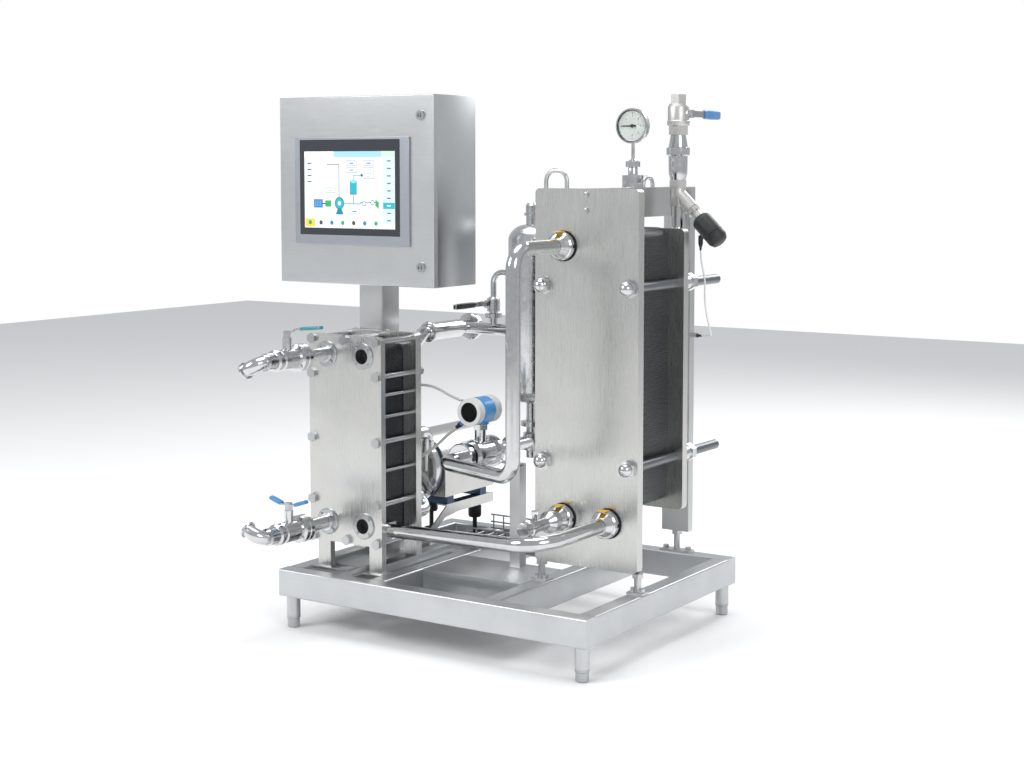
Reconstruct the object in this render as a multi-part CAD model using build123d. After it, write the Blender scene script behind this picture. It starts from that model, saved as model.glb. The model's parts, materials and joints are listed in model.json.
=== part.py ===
from build123d import *
from math import cos, radians, sin, tan
import os

# Skid-mounted plate heat exchanger unit for cooling milk.
# Millimetres. X runs to the right along the front beam, Y to the back and Z up.
# The model is laid out from the middle of the base frame on the floor, and moved at the end
# so that the middle of the whole unit's footprint is the origin.

# General fits
seat_gap = 0.2
running_gap = 0.05
sheet = 3

# Base frame
frame_width = 1050
frame_depth = 880
tube_width = 50
tube_height = 80
tube_wall = 3
tube_corner = 5
foot_height = 94
foot_inset = 30
foot_sleeve_radius = 20
foot_shaft_radius = 14
foot_cup_radius = 18
foot_cup_height = 34
foot_travel = 30
pump_beam_x = -317
middle_beam_x = -199
cooler_beam_x = 195
deck_front_y = -205
deck_back_y = 10
deck_lip = 40
tray_depth = 70

# Small plate exchanger
chiller_x = -361
chiller_width = 266
chiller_front_y = -330
chiller_bottom = 250
chiller_height = 612
chiller_corner = 16
chiller_cover_thickness = 20
chiller_pack_depth = 120
chiller_pressure_thickness = 27
chiller_rear_thickness = 26
chiller_pack_inset = 28
chiller_port_spacing = 133
chiller_port_edge = 58
chiller_port_radius = 22
chiller_ring_radius = 38
chiller_ring_thickness = 6
chiller_leg_width = 46
chiller_left_leg_inset = 29
chiller_bolt_radius = 8
chiller_bolt_edge = 16
chiller_guide_radius = 5
rail_height = 25
rail_back_y = 72
seat_plate_thickness = 8
seat_plate_depth = 52

# Large plate exchanger
cooler_x = 338.5
cooler_width = 333
cooler_front_y = -135
cooler_bottom = 231
cooler_height = 1059
cooler_corner = 14
cooler_plate_thickness = 30
cooler_pack_depth = 233
cooler_pack_half_width = 118
cooler_pack_low_margin = 157
cooler_pack_high_margin = 112
cooler_pack_corner = 40
cooler_follower_thickness = 28
cooler_follower_low_margin = 136
cooler_follower_high_margin = 115
cooler_bar_width = 40
cooler_bar_height = 85
column_width = 90
column_thickness = 30
column_front_y = 400
column_bottom = 240
tie_rod_radius = 14
tie_rod_spacing = 276
tie_rod_low_margin = 290
tie_rod_high_margin = 272
tie_rod_back_y = 390
spacer_length = 49
port_spacing = 146
port_low_margin = 132
port_high_margin = 160

# Sanitary pipework
pipe_radius = 20
pipe_wall = 1.5
union_radius = 40
union_length = 24
gasket_thickness = 3
upper_run_y = -392
upper_run_low_z = 512
upper_bend = 58
meter_x = -44
meter_bend_y = -285
lower_run_y = -500
lower_bend = 80
lower_end_z = 296
transfer_z = 850
transfer_end_y = 181
run_radius = 18
strainer_radius = 27
strainer_front_y = -11
branch_x = -183
branch_radius = 9
branch_top_z = 1026
branch_bend = 34

# Vessel, flow meter and their post
vessel_radius = 70
vessel_bottom = 628
vessel_height = 548
vessel_wall = 3
vessel_neck_radius = 16
sensor_radius = 48
sensor_length = 140
sensor_y = -95
head_radius = 40
head_length = 118
head_z = 640
post_x = 41
post_y = -24
post_size = 35
post_top = 475

# Pump
pump_x = -402
pump_z = 415
pump_front_y = 12
volute_radius = 112
volute_depth = 52
shroud_radius = 112
shroud_front_y = 72
shroud_length = 268
motor_radius = 94
nozzle_radius = 20

# Control cabinet
cabinet_x = -430
cabinet_width = 580
cabinet_height = 560
cabinet_bottom = 999
cabinet_back_y = 22
cabinet_depth = 194
door_thickness = 18
door_gap = 0.3
screen_width = 432
screen_height = 318
cabinet_post_x = -421
cabinet_post_y = -86
cabinet_post_size = 88

# Valve stack and gauge
stack_x = 415
stack_y = 258
gauge_radius = 50
gauge_y = 126
gauge_rise = 177
gauge_depth = 26
stack_valve_rise = 143
stack_union_length = 132
stack_ball_rise = 60
stack_ball_drop = 57
stack_ball_radius = 20
stack_bore = 14
stack_socket_radius = 17
stack_socket_depth = 18
stack_stem_reach = 40
actuator_angle = 45
actuator_start = 100
actuator_length = 100
actuator_radius = 30
plug_travel = 12


def block(x_range, y_range, z_range):
    """A box between two limits on each axis."""
    lows = [min(x_range), min(y_range), min(z_range)]
    sizes = [abs(x_range[1] - x_range[0]), abs(y_range[1] - y_range[0]), abs(z_range[1] - z_range[0])]
    middle = [low + size / 2 for low, size in zip(lows, sizes)]
    return Pos(*middle) * Box(*sizes)


def rod(start, end, radius):
    """A round bar from one point to another."""
    axis = Vector(end) - Vector(start)
    base = Plane(origin=start, z_dir=axis).location
    return base * Cylinder(radius, axis.length, align=(Align.CENTER, Align.CENTER, Align.MIN))


def ring(start, end, outer_radius, inner_radius):
    """A round sleeve from one point to another."""
    return rod(start, end, outer_radius) - rod(start, end, inner_radius)


def hex_bar(start, end, flats):
    """A six-sided bar of a given width across the flats."""
    axis = Vector(end) - Vector(start)
    base = Plane(origin=start, z_dir=axis)
    return extrude(base * RegularPolygon(flats / 2, 6, major_radius=False), axis.length)


def turned(outline, origin, direction):
    """A body turned from (radius, height) points about an axis through the origin point."""
    face = make_face(Polyline(*[(radius, 0, height) for radius, height in outline], close=True))
    return Plane(origin=origin, z_dir=direction).location * revolve(face, Axis.Z)


def pipe(points, bend, radius, wall=pipe_wall):
    """A hollow pipe along straight runs joined by round bends."""
    path = FilletPolyline(*points, radius=bend)
    start = Plane(origin=path @ 0, z_dir=path % 0)
    return sweep(start * (Circle(radius) - Circle(radius - wall)), path=path)


def union_nut(start, direction, radius=union_radius, length=union_length, bore=pipe_radius):
    """A round slotted union nut with chamfered rims, bored to sit on a pipe."""
    chamfer = length / 6
    body = turned(
        [
            (bore, 0),
            (radius - chamfer, 0),
            (radius, chamfer),
            (radius, length - chamfer),
            (radius - chamfer, length),
            (bore, length),
        ],
        start,
        direction,
    )
    place = Plane(origin=start, z_dir=direction).location
    for angle in range(0, 360, 90):
        slot = Rot(0, 0, angle) * Pos(radius, 0, length / 2) * Box(radius / 8, radius / 4, length)
        body -= place * slot
    return body


def plate(width, height, thickness, corner, origin):
    """A flat cover plate standing in X and Z, from its front face backwards, with rounded corners."""
    base = Plane(origin=origin, x_dir=(1, 0, 0), z_dir=(0, 1, 0))
    return extrude(base * RectangleRounded(width, height, corner), thickness)


def rect_tube(centre_x, centre_y, length, along_x):
    """A closed rectangular tube lying level in the base frame."""
    plane = Plane.YZ if along_x else Plane.XZ
    outer = extrude(plane * RectangleRounded(tube_width, tube_height, tube_corner), length / 2, both=True)
    inner_size = (tube_width - 2 * tube_wall, tube_height - 2 * tube_wall)
    inner = extrude(plane * Rectangle(*inner_size), length / 2 - tube_wall, both=True)
    return Pos(centre_x, centre_y, foot_height + tube_height / 2) * (outer - inner)


frame_top = foot_height + tube_height
frame_left = -frame_width / 2
frame_right = frame_width / 2
frame_front = -frame_depth / 2
frame_back = frame_depth / 2
half_tube = tube_width / 2
bay_front = frame_front + tube_width
bay_back = frame_back - tube_width
bay_depth = bay_back - bay_front


def foot_places():
    """The middle of each levelling foot in plan."""
    reach_x = frame_right - foot_inset
    reach_y = frame_back - foot_inset
    return {
        "foot_front_left": (-reach_x, -reach_y),
        "foot_front_right": (reach_x, -reach_y),
        "foot_back_left": (-reach_x, reach_y),
        "foot_back_right": (reach_x, reach_y),
    }


def base_frame():
    """Long beams, side beams and cross beams of the skid, each a closed tube."""
    beam_y = frame_back - half_tube
    side_x = frame_right - half_tube
    tubes = [rect_tube(0, y, frame_width, True) for y in (-beam_y, beam_y)]
    for x in (-side_x, side_x, pump_beam_x, middle_beam_x, cooler_beam_x):
        tubes.append(rect_tube(x, 0, bay_depth, False))
    return tubes


def foot_sleeves():
    """Bored sleeves under the corners of the frame."""
    sleeves = []
    for x, y in foot_places().values():
        bottom = foot_cup_height + seat_gap
        bore = foot_shaft_radius + running_gap
        sleeves.append(ring((x, y, bottom), (x, y, foot_height), foot_sleeve_radius, bore))
    return sleeves


def levelling_foot(x, y):
    """A foot with a rounded cup on a shaft that screws down out of its sleeve."""
    cup = foot_cup_radius
    outline = [
        (0, 0),
        (cup - 3, 0),
        (cup, 3),
        (cup, foot_cup_height - 8),
        (cup + 2, foot_cup_height - 6),
        (cup + 2, foot_cup_height),
        (foot_shaft_radius, foot_cup_height),
        (foot_shaft_radius, foot_height - seat_gap),
        (0, foot_height - seat_gap),
    ]
    return turned(outline, (x, y, 0), (0, 0, 1))


def deck():
    """A folded deck between two cross beams, with lips turned down at the front and back."""
    x_range = (middle_beam_x + half_tube, cooler_beam_x - half_tube)
    top = block(x_range, (deck_front_y, deck_back_y), (frame_top - sheet, frame_top))
    front = block(x_range, (deck_front_y, deck_front_y + sheet), (frame_top - deck_lip, frame_top))
    back = block(x_range, (deck_back_y - sheet, deck_back_y), (frame_top - deck_lip, frame_top))
    return top + front + back


def drip_tray():
    """A shallow tray from the front beam to the deck, under the level of the frame's top."""
    x_range = (middle_beam_x + half_tube, cooler_beam_x - half_tube)
    bottom_z = frame_top - tray_depth
    lip_z = frame_top - deck_lip
    floor = block(x_range, (bay_front, deck_front_y + sheet), (bottom_z, bottom_z + sheet))
    front = block(x_range, (bay_front, bay_front + sheet), (bottom_z, lip_z))
    back = block(x_range, (deck_front_y, deck_front_y + sheet), (bottom_z, lip_z))
    return floor + front + back


chiller_top = chiller_bottom + chiller_height
chiller_left = chiller_x - chiller_width / 2
chiller_right = chiller_x + chiller_width / 2
chiller_mid_z = chiller_bottom + chiller_height / 2
chiller_pack_front_y = chiller_front_y + chiller_cover_thickness
chiller_pressure_y = chiller_pack_front_y + chiller_pack_depth
chiller_rear_y = chiller_pressure_y + chiller_pressure_thickness + seat_gap
chiller_back_y = chiller_rear_y + chiller_rear_thickness
chiller_port_x = [chiller_x - chiller_port_spacing / 2, chiller_x + chiller_port_spacing / 2]
chiller_port_z = [chiller_bottom + chiller_port_edge, chiller_top - chiller_port_edge]
chiller_leg_x = [
    chiller_left + chiller_left_leg_inset + chiller_leg_width / 2,
    chiller_right - chiller_leg_width / 2,
]
rail_top = frame_top + rail_height
pressure_port_x = chiller_x + 26
pressure_port_z = 535


def chiller_bolt_places():
    """Tie bolts round the edge of the small exchanger's cover plates."""
    left = chiller_left + chiller_bolt_edge - 3
    right = chiller_right - chiller_bolt_edge
    low = chiller_bottom + 11
    high = chiller_top - 14
    heights = [low, low + 112, chiller_mid_z, high - 102, high]
    places = [(x, z) for x in (left, right) for z in heights]
    return places + [(chiller_x, high), (chiller_x + 6, low)]


def chiller_guide_places():
    """Plain guide rods between the tie bolts on both sides."""
    left = chiller_left + chiller_bolt_edge - 3
    right = chiller_right - chiller_bolt_edge
    heights = [chiller_mid_z + 135, chiller_mid_z + 72, chiller_mid_z - 86]
    return [(x, z) for x in (left, right) for z in heights]


def chiller_cover(front_y, thickness, leg_bottom, port_heights):
    """A cover plate of the small exchanger on two legs of the same plate."""
    body = plate(
        chiller_width, chiller_height, thickness, chiller_corner, (chiller_x, front_y, chiller_mid_z)
    )
    y_range = (front_y, front_y + thickness)
    for x in chiller_leg_x:
        leg = block(
            (x - chiller_leg_width / 2, x + chiller_leg_width / 2),
            y_range,
            (leg_bottom, chiller_bottom + 2 * chiller_corner),
        )
        body += leg
    for x, z in chiller_bolt_places():
        body -= rod((x, front_y, z), (x, front_y + thickness, z), chiller_bolt_radius + seat_gap)
    for x, z in port_heights:
        body -= rod((x, front_y, z), (x, front_y + thickness, z), chiller_port_radius)
    return body


def chiller_front_plate():
    """The front cover, with four ports and two legs down to the seat plates."""
    ports = [(x, z) for x in chiller_port_x for z in chiller_port_z]
    return chiller_cover(chiller_front_y, chiller_cover_thickness, frame_top, ports)


def chiller_rear_plate():
    """The rear cover, with three pipe ports on the pump's side, on the support rails."""
    ports = [(chiller_port_x[1], z) for z in chiller_port_z]
    ports.append((pressure_port_x, pressure_port_z))
    return chiller_cover(chiller_rear_y, chiller_rear_thickness, rail_top, ports)


def chiller_plate_pack():
    """Gasketed plates as a block with a groove between each pair of plates."""
    width = chiller_width - 2 * chiller_pack_inset
    height = chiller_height - 2 * chiller_pack_inset
    count = 12
    pitch = chiller_pack_depth / count
    body = plate(
        width - 6, height - 6, chiller_pack_depth, 30, (chiller_x, chiller_pack_front_y, chiller_mid_z)
    )
    for index in range(count):
        front = chiller_pack_front_y + pitch * (index + 0.2)
        body += plate(width, height, pitch * 0.6, 33, (chiller_x, front, chiller_mid_z))
    for x in chiller_port_x:
        for z in chiller_port_z:
            start = (x, chiller_pack_front_y, z)
            body -= rod(start, (x, chiller_pack_front_y + 4 * pitch, z), chiller_port_radius)
    return body


def chiller_pressure_plate():
    """The dark plate that presses the pack against the front cover."""
    width = chiller_width - 2 * (chiller_bolt_edge + chiller_bolt_radius + 1)
    body = plate(
        width,
        chiller_height - 60,
        chiller_pressure_thickness,
        chiller_corner,
        (chiller_x, chiller_pressure_y, chiller_mid_z),
    )
    return body


def chiller_tie_bolts():
    """Tie bolts with hexagon heads and nuts, and plain guide rods between the covers."""
    pieces = []
    for x, z in chiller_bolt_places():
        shank = rod((x, chiller_front_y, z), (x, chiller_back_y + 26, z), chiller_bolt_radius)
        head = hex_bar((x, chiller_front_y, z), (x, chiller_front_y - 11, z), 26)
        washer = rod((x, chiller_back_y, z), (x, chiller_back_y + 3, z), 15)
        nut = hex_bar((x, chiller_back_y + 3, z), (x, chiller_back_y + 17, z), 26)
        pieces.append(shank + head + washer + nut)
    for x, z in chiller_guide_places():
        pieces.append(rod((x, chiller_pack_front_y, z), (x, chiller_rear_y, z), chiller_guide_radius))
    return pieces


def chiller_port_rings():
    """Flanged rings with small screws round the four front ports."""
    rings = []
    for x in chiller_port_x:
        for z in chiller_port_z:
            front = chiller_front_y - chiller_ring_thickness
            body = turned(
                [
                    (chiller_port_radius, 0),
                    (chiller_ring_radius, 0),
                    (chiller_ring_radius, chiller_ring_thickness - 2),
                    (chiller_ring_radius - 2, chiller_ring_thickness),
                    (chiller_port_radius, chiller_ring_thickness),
                ],
                (x, chiller_front_y, z),
                (0, -1, 0),
            )
            middle = (chiller_port_radius + chiller_ring_radius) / 2
            for angle in (45, 135, 225, 315):
                screw_x = x + middle * cos(radians(angle))
                screw_z = z + middle * sin(radians(angle))
                body += hex_bar((screw_x, front, screw_z), (screw_x, front - 4, screw_z), 8)
            rings.append(body)
    return rings


def support_rails():
    """Rails behind the small exchanger's front legs, and the seat plates that they rest on."""
    left_bay = (frame_left + tube_width, pump_beam_x - half_tube)
    right_bay = (pump_beam_x + half_tube, middle_beam_x - half_tube)
    post_front = cabinet_post_y - cabinet_post_size / 2
    front_seat = (chiller_front_y - 14, chiller_front_y - 14 + seat_plate_depth)
    post_seat = (post_front - 6, post_front + cabinet_post_size + 6)
    rear_seat = (rail_back_y - seat_plate_depth, rail_back_y)
    sides = [
        (chiller_leg_x[0], left_bay, post_front - 2, post_seat),
        (chiller_leg_x[1], right_bay, rail_back_y, rear_seat),
    ]
    pieces = []
    for x, bay, rail_end, back_seat in sides:
        x_range = (x - chiller_leg_width / 2, x + chiller_leg_width / 2)
        pieces.append(block(x_range, (chiller_pack_front_y, rail_end), (frame_top, rail_top)))
        for y_range in (front_seat, back_seat):
            pieces.append(block(bay, y_range, (frame_top - seat_plate_thickness, frame_top)))
    return pieces


cooler_top = cooler_bottom + cooler_height
cooler_pack_bottom = cooler_bottom + cooler_pack_low_margin
cooler_pack_top = cooler_top - cooler_pack_high_margin
cooler_follower_bottom = cooler_bottom + cooler_follower_low_margin
cooler_follower_top = cooler_top - cooler_follower_high_margin
tie_rod_low_z = cooler_bottom + tie_rod_low_margin
tie_rod_high_z = cooler_top - tie_rod_high_margin
port_low_z = cooler_bottom + port_low_margin
port_high_z = cooler_top - port_high_margin
gauge_z = cooler_top + gauge_rise
stack_valve_z = port_high_z + stack_valve_rise
cooler_left = cooler_x - cooler_width / 2
cooler_right = cooler_x + cooler_width / 2
cooler_mid_z = cooler_bottom + cooler_height / 2
cooler_pack_y = cooler_front_y + cooler_plate_thickness
cooler_follower_y = cooler_pack_y + cooler_pack_depth
cooler_follower_back = cooler_follower_y + cooler_follower_thickness
port_x = [cooler_x - port_spacing / 2, cooler_x + port_spacing / 2]
tie_rod_x = [cooler_x - tie_rod_spacing / 2, cooler_x + tie_rod_spacing / 2]
tie_rod_places = [(x, z) for x in tie_rod_x for z in (tie_rod_low_z, tie_rod_high_z)]
cooler_ports = {
    "upper_left": (port_x[0], port_high_z),
    "lower_left": (port_x[0], port_low_z),
    "lower_right": (port_x[1], port_low_z),
}
bar_bottom = cooler_top - cooler_bar_height


def cooler_front_plate():
    """The tall front cover, with three ports, four tie-rod holes and rounded corners."""
    origin = (cooler_x, cooler_front_y, cooler_mid_z)
    body = plate(cooler_width, cooler_height, cooler_plate_thickness, cooler_corner, origin)
    back = cooler_front_y + cooler_plate_thickness
    for x, z in tie_rod_places:
        body -= rod((x, cooler_front_y, z), (x, back, z), tie_rod_radius + seat_gap)
    for x, z in cooler_ports.values():
        body -= rod((x, cooler_front_y, z), (x, back, z), pipe_radius + seat_gap)
    return body


def cooler_plate_pack():
    """Corrugated plates with rounded corners, one ridge for each group of plates."""
    height = cooler_pack_top - cooler_pack_bottom
    middle = cooler_pack_bottom + height / 2
    width = 2 * cooler_pack_half_width
    count = 22
    pitch = cooler_pack_depth / count
    body = plate(
        width - 6, height - 6, cooler_pack_depth, cooler_pack_corner - 3, (cooler_x, cooler_pack_y, middle)
    )
    for index in range(count):
        front = cooler_pack_y + pitch * (index + 0.2)
        body += plate(width, height, pitch * 0.6, cooler_pack_corner, (cooler_x, front, middle))
    return body


def cooler_follower():
    """The movable cover, hung from the carrying bar by a hanger with a roller."""
    height = cooler_follower_top - cooler_follower_bottom
    origin = (cooler_x, cooler_follower_y, cooler_follower_bottom + height / 2)
    body = plate(cooler_width, height, cooler_follower_thickness, cooler_corner, origin)
    for x, z in tie_rod_places:
        start = (x, cooler_follower_y, z)
        body -= rod(start, (x, cooler_follower_back, z), tie_rod_radius + seat_gap)
    stack_port = (stack_x, cooler_follower_y, port_high_z)
    body -= rod(stack_port, (stack_x, cooler_follower_back, port_high_z), pipe_radius + seat_gap)
    roller = 10
    hanger = block(
        (cooler_x - 14, cooler_x + 14),
        (cooler_follower_y + 4, cooler_follower_back - 4),
        (cooler_follower_top, bar_bottom - roller),
    )
    middle_y = cooler_follower_y + cooler_follower_thickness / 2
    axle_z = bar_bottom - roller - seat_gap
    wheel = rod((cooler_x - 12, middle_y, axle_z), (cooler_x + 12, middle_y, axle_z), roller)
    return body + hanger + wheel


def cooler_carry_bar():
    """The top bar that carries the plates, from the front cover to the column."""
    x_range = (cooler_x - cooler_bar_width / 2, cooler_x + cooler_bar_width / 2)
    return block(x_range, (cooler_pack_y, column_front_y), (bar_bottom, cooler_top))


def cooler_column():
    """The rear column under the end of the bar, with its levelling rod and foot plate."""
    x_range = (cooler_x - column_width / 2, cooler_x + column_width / 2)
    y_range = (column_front_y, column_front_y + column_thickness)
    middle_y = column_front_y + column_thickness / 2
    body = block(x_range, y_range, (column_bottom, cooler_top))
    return body + machine_foot(cooler_x, middle_y, column_bottom, 50)


def machine_foot(x, y, carried_z, half_length):
    """A threaded foot rod between a bolted foot plate and the piece that it carries."""
    foot = block((x - half_length, x + half_length), (y - 20, y + 20), (frame_top, frame_top + 6))
    stem = rod((x, y, frame_top + 6), (x, y, carried_z), 10)
    nut = hex_bar((x, y, carried_z - 12), (x, y, carried_z), 30)
    body = foot + stem + nut
    for side in (-1, 1):
        bolt_x = x + side * (half_length - 12)
        body += hex_bar((bolt_x, y, frame_top + 6), (bolt_x, y, frame_top + 16), 17)
    return body


def cooler_front_feet():
    """Two feet that carry the front cover on the cooler beam and the side beam."""
    middle_y = cooler_front_y + cooler_plate_thickness / 2
    left_x = cooler_left + 14
    right_x = cooler_right - 6
    return [machine_foot(x, middle_y, cooler_bottom, 25) for x in (left_x, right_x)]


def cooler_tie_rods():
    """Four long rods that clamp the plates between the two covers."""
    front = cooler_front_y - 14
    return [rod((x, front, z), (x, tie_rod_back_y, z), tie_rod_radius) for x, z in tie_rod_places]


def acorn_nut(x, z):
    """A polished cap nut with a washer, a hexagon and a round dome, hollow on its rod."""
    washer_y = cooler_front_y - 3
    hexagon_y = washer_y - 14
    dome_radius = 20
    washer = rod((x, cooler_front_y, z), (x, washer_y, z), 26)
    hexagon = hex_bar((x, washer_y, z), (x, hexagon_y, z), 44)
    dome = Pos(x, hexagon_y, z) * Sphere(dome_radius)
    dome -= block((x - 30, x + 30), (hexagon_y, hexagon_y + 30), (z - 30, z + 30))
    return washer + hexagon + dome - rod(
        (x, cooler_front_y, z), (x, cooler_front_y - 14 - seat_gap, z), tie_rod_radius + seat_gap
    )


def cooler_nuts():
    """Acorn nuts in front, and spacer sleeves with hexagon nuts behind the follower."""
    pieces = [acorn_nut(x, z) for x, z in tie_rod_places]
    bore = tie_rod_radius + seat_gap
    for x, z in tie_rod_places:
        nut_y = cooler_follower_back + spacer_length
        sleeve = ring((x, cooler_follower_back, z), (x, nut_y, z), 20, bore)
        nut = hex_bar((x, nut_y, z), (x, nut_y + 24, z), 44)
        nut -= rod((x, nut_y, z), (x, nut_y + 24, z), bore)
        pieces.append(sleeve + nut)
    return pieces


def lifting_eye(x, y, width, height, along_x):
    """A bent round loop standing on the top of the large exchanger."""
    half = width / 2
    reach = (half, 0) if along_x else (0, half)
    base = cooler_top
    top = base + height
    points = [
        (x - reach[0], y - reach[1], base),
        (x - reach[0], y - reach[1], top),
        (x + reach[0], y + reach[1], top),
        (x + reach[0], y + reach[1], base),
    ]
    path = FilletPolyline(*points, radius=half * 0.9)
    start = Plane(origin=path @ 0, z_dir=path % 0)
    return sweep(start * Circle(6), path=path)


def lifting_eyes():
    """One loop across the front cover and one along the carrying bar."""
    front_y = cooler_front_y + cooler_plate_thickness / 2
    return [
        lifting_eye(cooler_x - 106, front_y, 68, 50, True),
        lifting_eye(cooler_x, gauge_y + 90, 56, 30, False),
    ]


def port_gaskets():
    """Black rings between the large exchanger's front cover and its unions."""
    rings = []
    for x, z in cooler_ports.values():
        front = cooler_front_y - gasket_thickness
        rings.append(ring((x, cooler_front_y, z), (x, front, z), union_radius + 3, pipe_radius + seat_gap))
    return rings


def port_unions():
    """Slotted union nuts on the large exchanger's three used ports, each with its cone."""
    pieces = []
    face_y = cooler_front_y - gasket_thickness
    for x, z in cooler_ports.values():
        nut = union_nut((x, face_y, z), (0, -1, 0), bore=pipe_radius + seat_gap)
        cone = turned(
            [
                (pipe_radius + seat_gap, 0),
                (union_radius - 6, 0),
                (pipe_radius + 3, 22),
                (pipe_radius + seat_gap, 22),
            ],
            (x, face_y - union_length, z),
            (0, -1, 0),
        )
        pieces.append(nut + cone)
    return pieces


def pipe_upper():
    """The U pipe from the upper left port down and across to the flow meter."""
    x, z = cooler_ports["upper_left"]
    points = [
        (x, cooler_front_y + 20, z),
        (x, upper_run_y, z),
        (x, upper_run_y, upper_run_low_z),
        (meter_x, meter_bend_y, upper_run_low_z),
        (meter_x, sensor_y - sensor_length / 2, upper_run_low_z),
    ]
    return pipe(points, upper_bend, pipe_radius)


def pipe_lower():
    """The pipe from the lower right port to the small exchanger's side connection."""
    x, z = cooler_ports["lower_right"]
    block_x = chiller_right
    points = [
        (x, cooler_front_y + 20, z),
        (x, lower_run_y, z),
        (block_x, lower_end_y, lower_end_z),
    ]
    return pipe(points, lower_bend, pipe_radius)


lower_end_y = chiller_pack_front_y + 22


def side_connection():
    """The block behind the small exchanger's front cover that takes the lower pipe."""
    x_range = (chiller_right - chiller_pack_inset + seat_gap, chiller_right)
    y_range = (chiller_pack_front_y, chiller_pack_front_y + 48)
    body = block(x_range, y_range, (lower_end_z - 24, lower_end_z + 24))
    x, z = cooler_ports["lower_right"]
    run = Vector(chiller_right, lower_end_y, lower_end_z) - Vector(x, lower_run_y, z)
    centre = Vector(chiller_right, lower_end_y, lower_end_z)
    return body - rod(tuple(centre - run.normalized() * 40), tuple(centre + run.normalized() * 20), pipe_radius)


def drain_branch():
    """A reducer, a short pipe and a small drain valve on the lower left port."""
    x, z = cooler_ports["lower_left"]
    y = cooler_front_y
    body = ring((x, y + 20, z), (x, y - 60, z), pipe_radius, pipe_radius - pipe_wall)
    front = y - 52
    outline = [
        (pipe_radius, 0),
        (31, 0),
        (31, 26),
        (17, 44),
        (17, 118),
        (24, 118),
        (24, 130),
        (20, 132),
        (20, 156),
        (0, 156),
        (0, 24),
        (pipe_radius, 24),
    ]
    body += turned(outline, (x, front, z), (0, -1, 0))
    body += rod((x, front - 144, z), (x, front - 144, z - 42), 9)
    body += rod((x, front - 144, z - 42), (x, front - 144, z - 48), 14)
    body += rod((x, front - 96, z), (x, front - 96, z + 34), 7)
    body += hex_bar((x, front - 96, z + 34), (x, front - 96, z + 44), 20)
    return body


valve_flange_y = chiller_front_y - 107
valve_length = 163
valve_stem_y = valve_flange_y - 69
valve_stem_radius = 6
valve_ball_radius = 23
valve_bore = 14
valve_boss_height = 62
elbow_radius = 34


def valve_body(x, z, boss_top):
    """A flanged ball valve on a stub pipe, with bolts, a stem boss and a clamped ferrule."""
    ring_y = chiller_front_y - chiller_ring_thickness
    bore = pipe_radius - pipe_wall
    body = ring((x, chiller_front_y + 8, z), (x, valve_flange_y, z), pipe_radius, bore)
    body += ring((x, ring_y, z), (x, ring_y - 5, z), chiller_port_radius + 3, bore)
    outline = [
        (bore, 0),
        (40, 0),
        (40, 14),
        (38, 16),
        (40, 18),
        (40, 33),
        (30, 36),
        (30, 100),
        (26, 103),
        (26, 112),
        (31, 114),
        (31, 126),
        (25, 130),
        (25, valve_length),
        (bore, valve_length),
    ]
    body += turned(outline, (x, valve_flange_y, z), (0, -1, 0))
    for angle in (45, 135, 225, 315):
        bolt_x = x + 32 * cos(radians(angle))
        bolt_z = z + 32 * sin(radians(angle))
        body += hex_bar((bolt_x, valve_flange_y + 6, bolt_z), (bolt_x, valve_flange_y - 39, bolt_z), 11)
    return body + rod((x, valve_stem_y, z + 24), (x, valve_stem_y, boss_top), 13)


def outlet_bend(x, z, rise):
    """A bend at the end of a valve, turned to the left and up or down, with a ferrule rim."""
    end_y = valve_flange_y - valve_length
    direction = Vector(-cos(radians(rise)), 0, sin(radians(rise)))
    corner = Vector(x, end_y - elbow_radius, z)
    tip = corner + direction * (elbow_radius + 16)
    body = pipe([(x, end_y, z), tuple(corner), tuple(tip)], elbow_radius - 1, pipe_radius)
    rim = ring(tuple(tip - direction * 6), tuple(tip), 25, pipe_radius - pipe_wall)
    return body + rim


def flanged_valve(x, z, rise):
    """A valve body with its bend, and the clear space for the ball and stem."""
    boss_top = z + valve_boss_height
    body = valve_body(x, z, boss_top) + outlet_bend(x, z, rise)
    body -= Pos(x, valve_stem_y, z) * Sphere(valve_ball_radius + 1)
    return body - rod((x, valve_stem_y, z), (x, valve_stem_y, boss_top), valve_stem_radius + running_gap)


def inlet_valve():
    """The upper valve of the small exchanger, its mouth turned down."""
    return flanged_valve(chiller_port_x[0], chiller_port_z[1], -30)


def outlet_valve():
    """The lower valve of the small exchanger, its mouth turned up."""
    return flanged_valve(chiller_port_x[0], chiller_port_z[0], 30)


def valve_ball(x, y, z, stem_top):
    """A ball drilled across, on its stem, as it stands when the valve is closed."""
    ball = Pos(x, y, z) * Sphere(valve_ball_radius)
    ball -= rod((x - 30, y, z), (x + 30, y, z), valve_bore)
    return ball + rod((x, y, z + valve_bore + 4), (x, y, stem_top), valve_stem_radius)


def bent_bar(points, bend, width, thickness, side):
    """A flat bar bent along its points, its width along the side direction."""
    path = FilletPolyline(*points, radius=bend)
    start = Plane(origin=path @ 0, x_dir=side, z_dir=path % 0)
    return sweep(start * Rectangle(width, thickness), path=path)


def grip(start, end, width, thickness, side):
    """A rounded sleeve over the end of a handle."""
    axis = Vector(end) - Vector(start)
    base = Plane(origin=start, x_dir=side, z_dir=axis)
    return extrude(base * RectangleRounded(width, thickness, thickness * 0.45), axis.length)


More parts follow.
